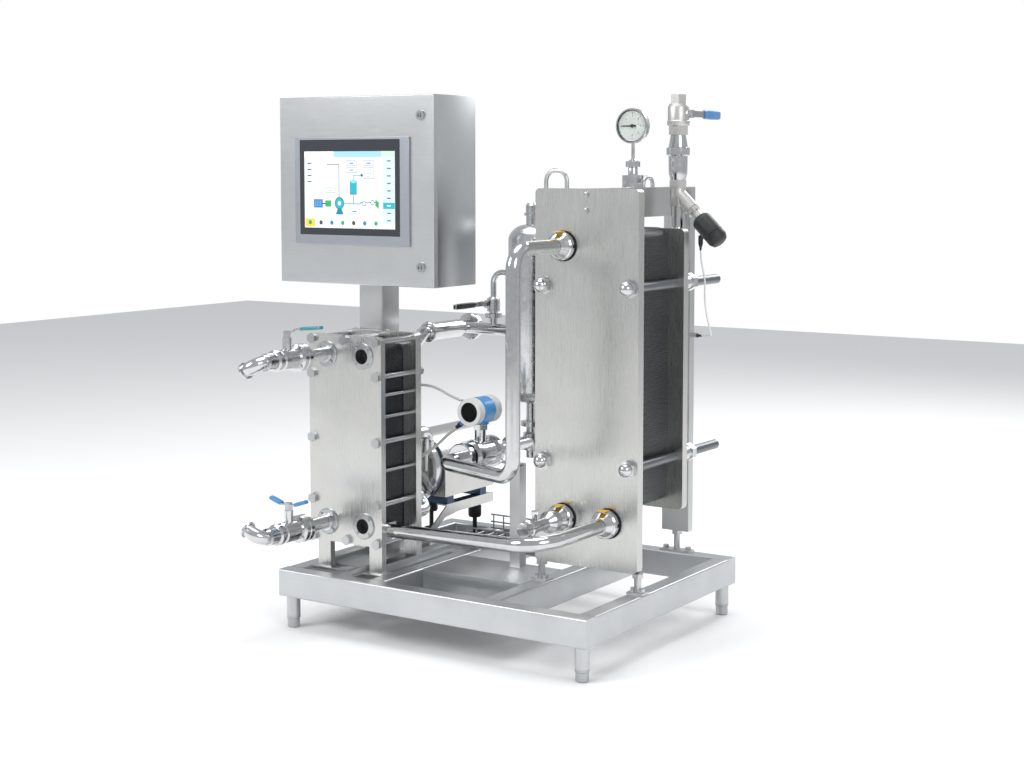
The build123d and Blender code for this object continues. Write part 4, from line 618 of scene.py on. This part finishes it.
def draw_flow_scheme(picture):
    """A plain flow scheme without words: values, a pump with its motor, a cooler, valves and two rows of keys."""
    ground, pale, white, sky = "#DCE2E4", "#C6D8E0", "#F7F9F9", "#9CCBE0"
    teal, deep, green, blue, dark = "#2FA6BC", "#1F7F98", "#3FA06A", "#3C78B4", "#46525A"
    picture.box(0.0, 0.0, 1.0, 1.0, ground)
    picture.box(0.0, 0.0, 0.33, 0.075, white)
    picture.box(0.33, 0.0, 0.86, 0.075, sky)
    picture.box(0.87, 0.0, 1.0, 0.075, "#BFDCC8")
    for index in range(9):
        top = 0.085 + index * 0.0955
        picture.box(0.872, top, 0.997, top + 0.082, teal if index == 6 else pale)
        picture.box(0.915, top + 0.034, 0.955, top + 0.048, dark if index != 6 else white)
    for index in range(7):
        left = 0.006 + index * 0.122
        picture.box(left, 0.88, left + 0.112, 0.985, "#E8C548" if index == 0 else white)
        picture.oval(left + 0.056, 0.93, 0.02, 0.03, (green, dark, blue)[index % 3])
    for index in range(4):
        top = 0.125 + index * 0.08
        picture.box(0.13, top, 0.245, top + 0.058, white)
        picture.box(0.035, top + 0.022, 0.08, top + 0.036, dark)
    for left, top, right, bottom in (
        (0.477, 0.125, 0.583, 0.182),
        (0.477, 0.215, 0.583, 0.27),
        (0.663, 0.125, 0.77, 0.182),
        (0.663, 0.215, 0.77, 0.262),
        (0.663, 0.295, 0.77, 0.345),
        (0.505, 0.75, 0.615, 0.805),
        (0.24, 0.48, 0.345, 0.53),
    ):
        picture.box(left - 0.003, top - 0.005, right + 0.003, bottom + 0.005, dark)
        picture.box(left, top, right, bottom, white)
        picture.box(left + 0.03, top + 0.02, right - 0.03, bottom - 0.02, blue)
    picture.pipe([(0.26, 0.17), (0.39, 0.17), (0.39, 0.60)], dark, 0.005)
    picture.pipe([(0.42, 0.68), (0.63, 0.68), (0.63, 0.66), (0.83, 0.66)], deep)
    picture.pipe([(0.55, 0.37), (0.55, 0.31), (0.63, 0.31)], deep, 0.005)
    picture.pipe([(0.55, 0.57), (0.55, 0.68)], deep)
    picture.outline([(0.352, 0.82), (0.438, 0.82), (0.415, 0.745), (0.375, 0.745)], deep)
    picture.oval(0.393, 0.675, 0.052, 0.082, deep)
    picture.oval(0.393, 0.675, 0.043, 0.068, teal)
    picture.oval(0.393, 0.675, 0.018, 0.028, ground)
    picture.box(0.235, 0.64, 0.3, 0.72, green)
    picture.box(0.105, 0.625, 0.205, 0.735, blue)
    for index in range(4):
        left = 0.12 + index * 0.02
        picture.box(left, 0.64, left + 0.006, 0.72, "#7FB2DC")
    picture.pipe([(0.205, 0.68), (0.24, 0.68)], dark, 0.01)
    picture.box(0.512, 0.385, 0.585, 0.56, deep)
    picture.box(0.519, 0.397, 0.578, 0.548, teal)
    picture.oval(0.5485, 0.39, 0.033, 0.022, "#7FD0DE")
    picture.oval(0.642, 0.31, 0.012, 0.018, dark)
    for across, down in ((0.667, 0.675), (0.758, 0.66)):
        picture.oval(across, down, 0.02, 0.031, dark)
        picture.oval(across, down, 0.015, 0.023, white)
    picture.outline([(0.79, 0.70), (0.825, 0.74), (0.825, 0.66), (0.79, 0.62)], green)


def written(text, size_mm, depth_mm):
    """A flat solid figure from Blender's own letters, centred, upright and facing the front."""
    curve = bpy.data.curves.new("figure", "FONT")
    curve.body = text
    curve.size = size_mm * MM
    curve.extrude = depth_mm / 2 * MM
    curve.align_x = "CENTER"
    curve.align_y = "CENTER"
    curve.resolution_u = 3
    holder = bpy.data.objects.new("figure", curve)
    mesh = bpy.data.meshes.new_from_object(holder)
    solid = bmesh.new()
    solid.from_mesh(mesh)
    solid.transform(Matrix.Rotation(pi / 2, 4, "X"))
    bpy.data.objects.remove(holder)
    bpy.data.curves.remove(curve)
    bpy.data.meshes.remove(mesh)
    return solid


GAUGE_FACE = (338.5, 121.3, 1467.0)


def dial_marks(figures, step):
    """The scale of the gauge: long and short strokes over three quarters of a turn, and its figures."""
    x, y, z = GAUGE_FACE
    marks = []
    strokes = (figures - 1) * 5
    for index in range(strokes + 1):
        angle = pi - 1.5 * pi * index / strokes
        long = index % 5 == 0
        mark = bmesh.new()
        bmesh.ops.create_cube(mark, size=1.0)
        size = Vector((6.0 if long else 3.4, 0.1, 1.1 if long else 0.6)) * MM
        bmesh.ops.scale(mark, vec=size, verts=mark.verts)
        bmesh.ops.translate(mark, vec=((39.0 - (3.0 if long else 1.7)) * MM, 0, 0), verts=mark.verts)
        mark.transform(Matrix.Translation(at(x, y, z)) @ Matrix.Rotation(-angle, 4, "Y"))
        marks.append(mark)
        if long:
            figure = written(str(index // 5 * step), 8.5, 0.1)
            place = at(x + 27.5 * cos(angle), y, z + 27.5 * sin(angle))
            figure.transform(Matrix.Translation(place))
            marks.append(figure)
    return join(marks)


def bend_cord(name, node, points, radius, finish, lay, gland_finish):
    """A cord on the part's own route, with a tapered sleeve where it leaves its housing."""
    route = [at(*point) for point in points]
    curve = bpy.data.curves.new(name, "CURVE")
    curve.dimensions = "3D"
    curve.bevel_depth = radius * MM
    curve.bevel_resolution = 5
    curve.use_fill_caps = True
    curve.resolution_u = 16
    spline = curve.splines.new("NURBS")
    spline.points.add(len(route) - 1)
    for knot, place in zip(spline.points, route):
        knot.co = (*place, 1.0)
    spline.order_u = 3
    spline.use_endpoint_u = True
    curve.materials.append(FINISHES[finish])
    obj = bpy.data.objects.new(name, curve)
    bpy.context.scene.collection.objects.link(obj)
    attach(obj, BODIES[node])
    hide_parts(node)
    sleeves = []
    grown = radius + 3.2
    profile = [(0, -3), (grown, -3), (grown, 4), (grown - 1, 6), (radius + 1.2, 9), (radius + 0.4, 18), (0, 18)]
    for end, inner in ((points[0], points[1]), (points[-1], points[-2])):
        sleeves.append(turned(profile, end, Vector(inner) - Vector(end), 32))
    relief = piece(f"{name}_sleeves", join(sleeves), gland_finish, BODIES[node])
    return obj, relief


# Sizes and colours that a user would change


class CoolerLooks(bpy.types.PropertyGroup):
    """What a user would change about the unit's looks."""

    polish: FloatProperty(
        name="Polish", description="Roughness of the bright pieces against the mopped finish", default=1.0, min=0.2, max=4.0
    )
    plate_pitch: FloatProperty(
        name="Plate pitch", description="Distance between two plates of a pack", default=3.2 * MM, unit="LENGTH"
    )
    plate_wave: FloatProperty(
        name="Plate wave", description="Length of one zigzag along a plate's rim", default=15 * MM, unit="LENGTH"
    )
    edge_round: FloatProperty(
        name="Edge round", description="Rounding of the folded sheets' edges", default=1.0 * MM, unit="LENGTH"
    )
    gauge_figures: IntProperty(name="Gauge figures", description="Figures on the gauge's dial", default=7, min=3, max=11)
    floor_colour: FloatVectorProperty(
        name="Floor", description="Colour of the floor", subtype="COLOR", size=4, default=srgb("#FFFFFF")
    )


class COOLER_OT_finishes(bpy.types.Operator):
    """Make every finish of the unit"""

    bl_idname = "cooler.finishes"
    bl_label = "Make finishes"

    def execute(self, context):
        make_finishes(context.scene.cooler_looks.polish)
        return {"FINISHED"}


class COOLER_OT_base(bpy.types.Operator):
    """Dress the base frame, its feet, the deck and the rails"""

    bl_idname = "cooler.base"
    bl_label = "Base frame"

    def execute(self, context):
        edge = context.scene.cooler_looks.edge_round / MM
        dress("frame_tubes", "frame")
        dress("deck", "frame", 0.6 * edge)
        dress("support_rails", "frame_cross", 0.8 * edge)
        for place in ("front_left", "front_right", "back_left", "back_right"):
            dress(f"foot_{place}", "bolt")
        dress("cable_tray", "bolt")
        return {"FINISHED"}


class COOLER_OT_small_exchanger(bpy.types.Operator):
    """Dress the small plate exchanger and stack its plates"""

    bl_idname = "cooler.small_exchanger"
    bl_label = "Small exchanger"

    def execute(self, context):
        looks = context.scene.cooler_looks
        low, high = (corner / MM - SKID for corner in map(Vector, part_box("chiller_plate_pack")))
        middle = (low.x + high.x) / 2
        half = (high.x - low.x) / 2
        depth = high.y - low.y
        for node in ("chiller_front_plate", "chiller_rear_plate"):
            dress(node, "cover")
        dress("chiller_pressure_plate", "pressure")
        dress("chiller_tie_bolts", "bolt")
        dress("chiller_port_rings", "bolt")
        plates = pressed_plates(
            middle, half, low.z, high.z, 33, low.y, depth, looks.plate_pitch / MM, looks.plate_wave / MM
        )
        piece(
            "chiller_plates", plates, "dark_pack", "skid", ["chiller_plate_pack"], smooth_to=20
        )
        core = plate_core(middle, half - 4, low.z + 4, high.z - 4, 30, low.y + 0.3, depth - 0.6)
        piece("chiller_gaskets", core, "rubber", "skid")
        return {"FINISHED"}


class COOLER_OT_large_exchanger(bpy.types.Operator):
    """Dress the large plate exchanger and stack its plates"""

    bl_idname = "cooler.large_exchanger"
    bl_label = "Large exchanger"

    def execute(self, context):
        looks = context.scene.cooler_looks
        low, high = (corner / MM - SKID for corner in map(Vector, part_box("cooler_plate_pack")))
        middle = (low.x + high.x) / 2
        half = (high.x - low.x) / 2
        depth = high.y - low.y
        for node in ("cooler_front_plate", "cooler_follower"):
            dress(node, "cover")
        dress("cooler_carry_bar", "post")
        dress("cooler_supports", "post")
        dress("cooler_tie_rods", "rod")
        dress("cooler_nuts", "bright")
        dress("port_gaskets", "rubber")
        dress("port_unions", "bright")
        plates = pressed_plates(
            middle, half, low.z, high.z, 40, low.y, depth, looks.plate_pitch / MM, looks.plate_wave / MM
        )
        piece("cooler_plates", plates, "pack", "skid", ["cooler_plate_pack"], smooth_to=20)
        core = plate_core(middle, half - 4, low.z + 4, high.z - 4, 37, low.y + 0.3, depth - 0.6)
        piece("cooler_gaskets", core, "rubber", "skid")
        screws = [hex_head((340, -135, z), (0, -1, 0), 13, 5.5, 8.5) for z in (1230, 1274)]
        piece("cover_screws", join(screws), "bolt", "skid")
        tags = [block((x - 13, -176, z - 1), (x + 13, -148, z + 1.2), 0.4) for x, z in (
            (265.5, 1170), (265.5, 403), (411.5, 403)
        )]
        piece("flow_tags", join(tags), "tag", "skid")
        return {"FINISHED"}


class COOLER_OT_piping(bpy.types.Operator):
    """Dress the milk valves, the pipes, the vessel and their post"""

    bl_idname = "cooler.piping"
    bl_label = "Pipes and vessel"

    def execute(self, context):
        for node, finish in {
            "pipe_upper": "pipe",
            "pipe_lower": "pipe",
            "drain_branch": "bright",
            "inlet_valve_body": "bright",
            "outlet_valve_body": "bright",
            "inlet_valve_lever": "bolt",
            "outlet_valve_handle": "bolt",
            "transfer_pipe": "pipe",
            "vent_branch": "bright",
            "vent_valve_lever": "bolt",
            "vessel": "vessel",
            "piping_post": "post",
        }.items():
            dress(node, finish)
        grip = sleeve((-375.5, -506, 894), (-300.5, -506, 901.2), 19, 10.2, (0, 1, 0))
        piece("inlet_grip", grip, "grip_teal", "inlet_lever")
        arms = [
            sleeve((-427.5 + side * 25, -506, 388), (-427.5 + side * 67, -506, 401.5), 19, 11.2, (0, 1, 0))
            for side in (-1, 1)
        ]
        piece("outlet_grips", join(arms), "grip_blue", "outlet_handle")
        grip = sleeve((-223, 138, 926), (-223, 28.5, 926), 17, 11.2, (0, 0, 1))
        piece("vent_grip", grip, "grip_black", "vent_lever")
        return {"FINISHED"}


class COOLER_OT_meter(bpy.types.Operator):
    """Dress the flow meter: blue housing, pale screw covers and window"""

    bl_idname = "cooler.meter"
    bl_label = "Flow meter"

    def execute(self, context):
        dress("meter_sensor", "bright")
        nodes = ["meter_head"]
        piece("meter_front_cover", slice_of("meter_head", -160, -123), "white", "skid", nodes)
        piece("meter_housing", slice_of("meter_head", -123, -67), "blue_paint", "skid", nodes)
        piece("meter_back_cover", slice_of("meter_head", -67, -30), "white", "skid", nodes)
        dress("sight_glasses", "glass")
        return {"FINISHED"}


class COOLER_OT_pump(bpy.types.Operator):
    """Dress the pump, its motor, shroud and legs"""

    bl_idname = "cooler.pump"
    bl_label = "Pump"

    def execute(self, context):
        dress("pump_volute", "bright")
        dress("pump_impeller", "bolt")
        dress("pump_motor", "motor_paint")
        dress("pump_shroud", "cover")
        dress("pump_cradle", "cover", keep=lambda low, high: high.y - low.y > 100, name="pump_legs")
        dress(
            "pump_cradle",
            "rubber",
            keep=lambda low, high: high.y - low.y <= 100,
            name="pump_feet",
        )
        return {"FINISHED"}


class COOLER_OT_valve_stack(bpy.types.Operator):
    """Dress the angle valve, its actuator and the top valve"""

    bl_idname = "cooler.valve_stack"
    bl_label = "Valve stack"

    def execute(self, context):
        dress("stack_riser", "pipe", keep=lambda low, high: high.z < 1250, name="stack_elbow")
        dress("stack_riser", "cast", keep=lambda low, high: high.x > 470, name="angle_valve_casting")
        dress("stack_riser", "bright", keep=lambda low, high: high.z > 1400, name="stack_cones")
        dress("angle_valve_plug", "bolt")
        dress("angle_actuator", "black")
        dress("stack_valve_body", "cast")
        dress("stack_valve_lever", "bolt")
        grip = sleeve((459, 335, 1503), (459, 432.5, 1503), 27, 12, (0, 0, 1))
        piece("stack_grip", grip, "grip_blue", "stack_lever")
        return {"FINISHED"}


class COOLER_OT_gauge(bpy.types.Operator):
    """Dress the pressure gauge and mark its dial"""

    bl_idname = "cooler.gauge"
    bl_label = "Pressure gauge"

    def execute(self, context):
        x, y, z = GAUGE_FACE
        dress("gauge_body", "bright")
        dress("gauge_needle", "ink")
        card = turned([(2.6, 0), (43.5, 0), (43.5, 0.6), (2.6, 0.6), (2.6, 0)], (x, y + 0.05, z), (0, 1, 0), 64)
        piece("gauge_dial", card, "dial", "skid")
        marks = dial_marks(context.scene.cooler_looks.gauge_figures, 1)
        piece("gauge_marks", marks, "ink", "skid")
        return {"FINISHED"}


class COOLER_OT_cabinet(bpy.types.Operator):
    """Dress the control cabinet and draw the operator panel's picture"""

    bl_idname = "cooler.cabinet"
    bl_label = "Control cabinet"

    def execute(self, context):
        edge = context.scene.cooler_looks.edge_round / MM
        dress("cabinet_body", "cabinet", edge)
        dress("cabinet_door", "cabinet")
        dress("cabinet_post", "post")
        dress("door_lock_upper", "bolt")
        dress("door_lock_lower", "bolt")
        dress("hmi_bezel", "bezel")
        dress("hmi_glass", "screen")
        picture = Picture(Vector(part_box("hmi_glass")[0]).y / MM - SKID.y)
        draw_flow_scheme(picture)
        piece("panel_picture", picture.solid, "picture", "door", smooth_to=1)
        return {"FINISHED"}


CORDS = (
    (
        "meter_cable",
        ((-103.2, -111, 595.6), (-151.2, -111, 559.6), (-206, -98, 516), (-270, -90, 478), (-318, -86, 462), (-359, -86, 462)),
        5.0,
        0.297,
        "white",
    ),
    (
        "signal_cable",
        (
            (-104.02, -77, 655.12),
            (-158.34, -77, 668.73),
            (-212, -80, 694),
            (-268, -84, 700),
            (-322, -86, 690),
            (-359, -86, 690),
        ),
        4.0,
        0.2627,
        "white",
    ),
    (
        "air_hose",
        (
            (490.66, 258, 1125.6),
            (490.66, 258, 1080.6),
            (506, 260, 1024),
            (500, 268, 962),
            (488, 310, 905),
            (470, 368, 862),
            (450, 415, 842),
            (401.5, 415, 842),
        ),
        2.5,
        0.4079,
        "hose",
    ),
)


class COOLER_OT_cords(bpy.types.Operator):
    """Lay the two instrument cables and the air hose"""

    bl_idname = "cooler.cords"
    bl_label = "Cables and hose"

    def execute(self, context):
        for node, points, radius, length, finish in CORDS:
            cord, relief = bend_cord(f"{node}_laid", node, points, radius, finish, "loose", "black")
        return {"FINISHED"}


class COOLER_OT_stage(bpy.types.Operator):
    """Set the floor, the soft studio light and the camera"""

    bl_idname = "cooler.stage"
    bl_label = "Stage"

    def execute(self, context):
        scene = context.scene
        scene.view_settings.view_transform = "Standard"
        floor_mesh = bmesh.new()
        bmesh.ops.create_grid(floor_mesh, x_segments=1, y_segments=1, size=9.0)
        mesh = bpy.data.meshes.new("floor")
        floor_mesh.to_mesh(mesh)
        floor_mesh.free()
        mesh.materials.append(floor_paint(scene.cooler_looks.floor_colour))
        floor = bpy.data.objects.new("floor", mesh)
        scene.collection.objects.link(floor)
        light_world(scene)
        for name, place, size, power in (
            ("key_lamp", (-3.2, -4.4, 4.2), 3.2, 150),
            ("fill_lamp", (4.6, -2.4, 3.0), 2.6, 60),
            ("back_lamp", (0.6, 4.6, 3.8), 3.0, 90),
            ("top_lamp", (0.0, 0.0, 4.8), 3.0, 90),
        ):
            lamp = bpy.data.lights.new(name, "AREA")
            lamp.shape = "DISK"
            lamp.size = size
            lamp.energy = power
            holder = bpy.data.objects.new(name, lamp)
            holder.location = place
            aim = Vector((0.0, 0.0, 0.8)) - Vector(place)
            holder.rotation_euler = aim.to_track_quat("-Z", "Y").to_euler()
            scene.collection.objects.link(holder)
        camera = bpy.data.cameras.new("camera")
        camera.lens = 60.27
        camera.sensor_width = 36.0
        camera.shift_y = -0.079
        viewer = bpy.data.objects.new("camera", camera)
        viewer.location = (2.8447, -4.0925, 1.346)
        viewer.rotation_euler = (radians(85.5), 0.0, radians(33.35))
        scene.collection.objects.link(viewer)
        scene.camera = viewer
        return {"FINISHED"}


def floor_paint(colour):
    """Matt white studio floor: it takes the soft shadow and melts into the white behind."""
    material, tree, shader, place = new_material("matt_white_studio_floor")
    shader.inputs["Base Color"].default_value = tuple(colour)
    grain = add_node(tree, "ShaderNodeTexNoise", {"Scale": 4.0, "Detail": 2.0}, {"Vector": place})
    rough = add_node(
        tree, "ShaderNodeMapRange", {"To Min": 0.8, "To Max": 0.95}, {"Value": grain.outputs["Fac"]}
    )
    tree.links.new(rough.outputs[0], shader.inputs["Roughness"])
    return material


def light_world(scene):
    """White behind the unit and seen through glass, a softer grey as light and in its reflections."""
    world = bpy.data.worlds.new("studio")
    scene.world = world
    world.use_nodes = True
    tree = world.node_tree
    tree.nodes.clear()
    rays = tree.nodes.new("ShaderNodeLightPath")
    seen = add_node(
        tree, "ShaderNodeMath", {"operation": "MAXIMUM"}, {0: rays.outputs["Is Camera Ray"], 1: rays.outputs["Is Transmission Ray"]}
    )
    light = add_node(tree, "ShaderNodeBackground", {"Color": srgb("#D5D7DA"), "Strength": 0.8})
    white = add_node(tree, "ShaderNodeBackground", {"Color": srgb("#FFFFFF"), "Strength": 1.0})
    mixed = add_node(
        tree, "ShaderNodeMixShader", None, {0: seen.outputs[0], 1: light.outputs[0], 2: white.outputs[0]}
    )
    output = tree.nodes.new("ShaderNodeOutputWorld")
    tree.links.new(mixed.outputs[0], output.inputs["Surface"])


STEPS = (
    COOLER_OT_finishes,
    COOLER_OT_base,
    COOLER_OT_small_exchanger,
    COOLER_OT_large_exchanger,
    COOLER_OT_piping,
    COOLER_OT_meter,
    COOLER_OT_pump,
    COOLER_OT_valve_stack,
    COOLER_OT_gauge,
    COOLER_OT_cabinet,
    COOLER_OT_cords,
    COOLER_OT_stage,
)


class COOLER_PT_panel(bpy.types.Panel):
    """The unit's looks and its pieces"""

    bl_label = "Milk cooler"
    bl_idname = "COOLER_PT_panel"
    bl_space_type = "VIEW_3D"
    bl_region_type = "UI"
    bl_category = "Milk cooler"

    def draw(self, context):
        looks = context.scene.cooler_looks
        for name in ("polish", "plate_pitch", "plate_wave", "edge_round", "gauge_figures", "floor_colour"):
            self.layout.prop(looks, name)
        for step in STEPS:
            self.layout.operator(step.bl_idname)


CLASSES = (CoolerLooks, *STEPS, COOLER_PT_panel)


def register():
    for item in CLASSES:
        bpy.utils.register_class(item)
    bpy.types.Scene.cooler_looks = PointerProperty(type=CoolerLooks)


def unregister():
    del bpy.types.Scene.cooler_looks
    for item in reversed(CLASSES):
        bpy.utils.unregister_class(item)


def main():
    register()
    for step in STEPS:
        group, name = step.bl_idname.split(".")
        getattr(getattr(bpy.ops, group), name)()


if __name__ == "__main__":
    main()
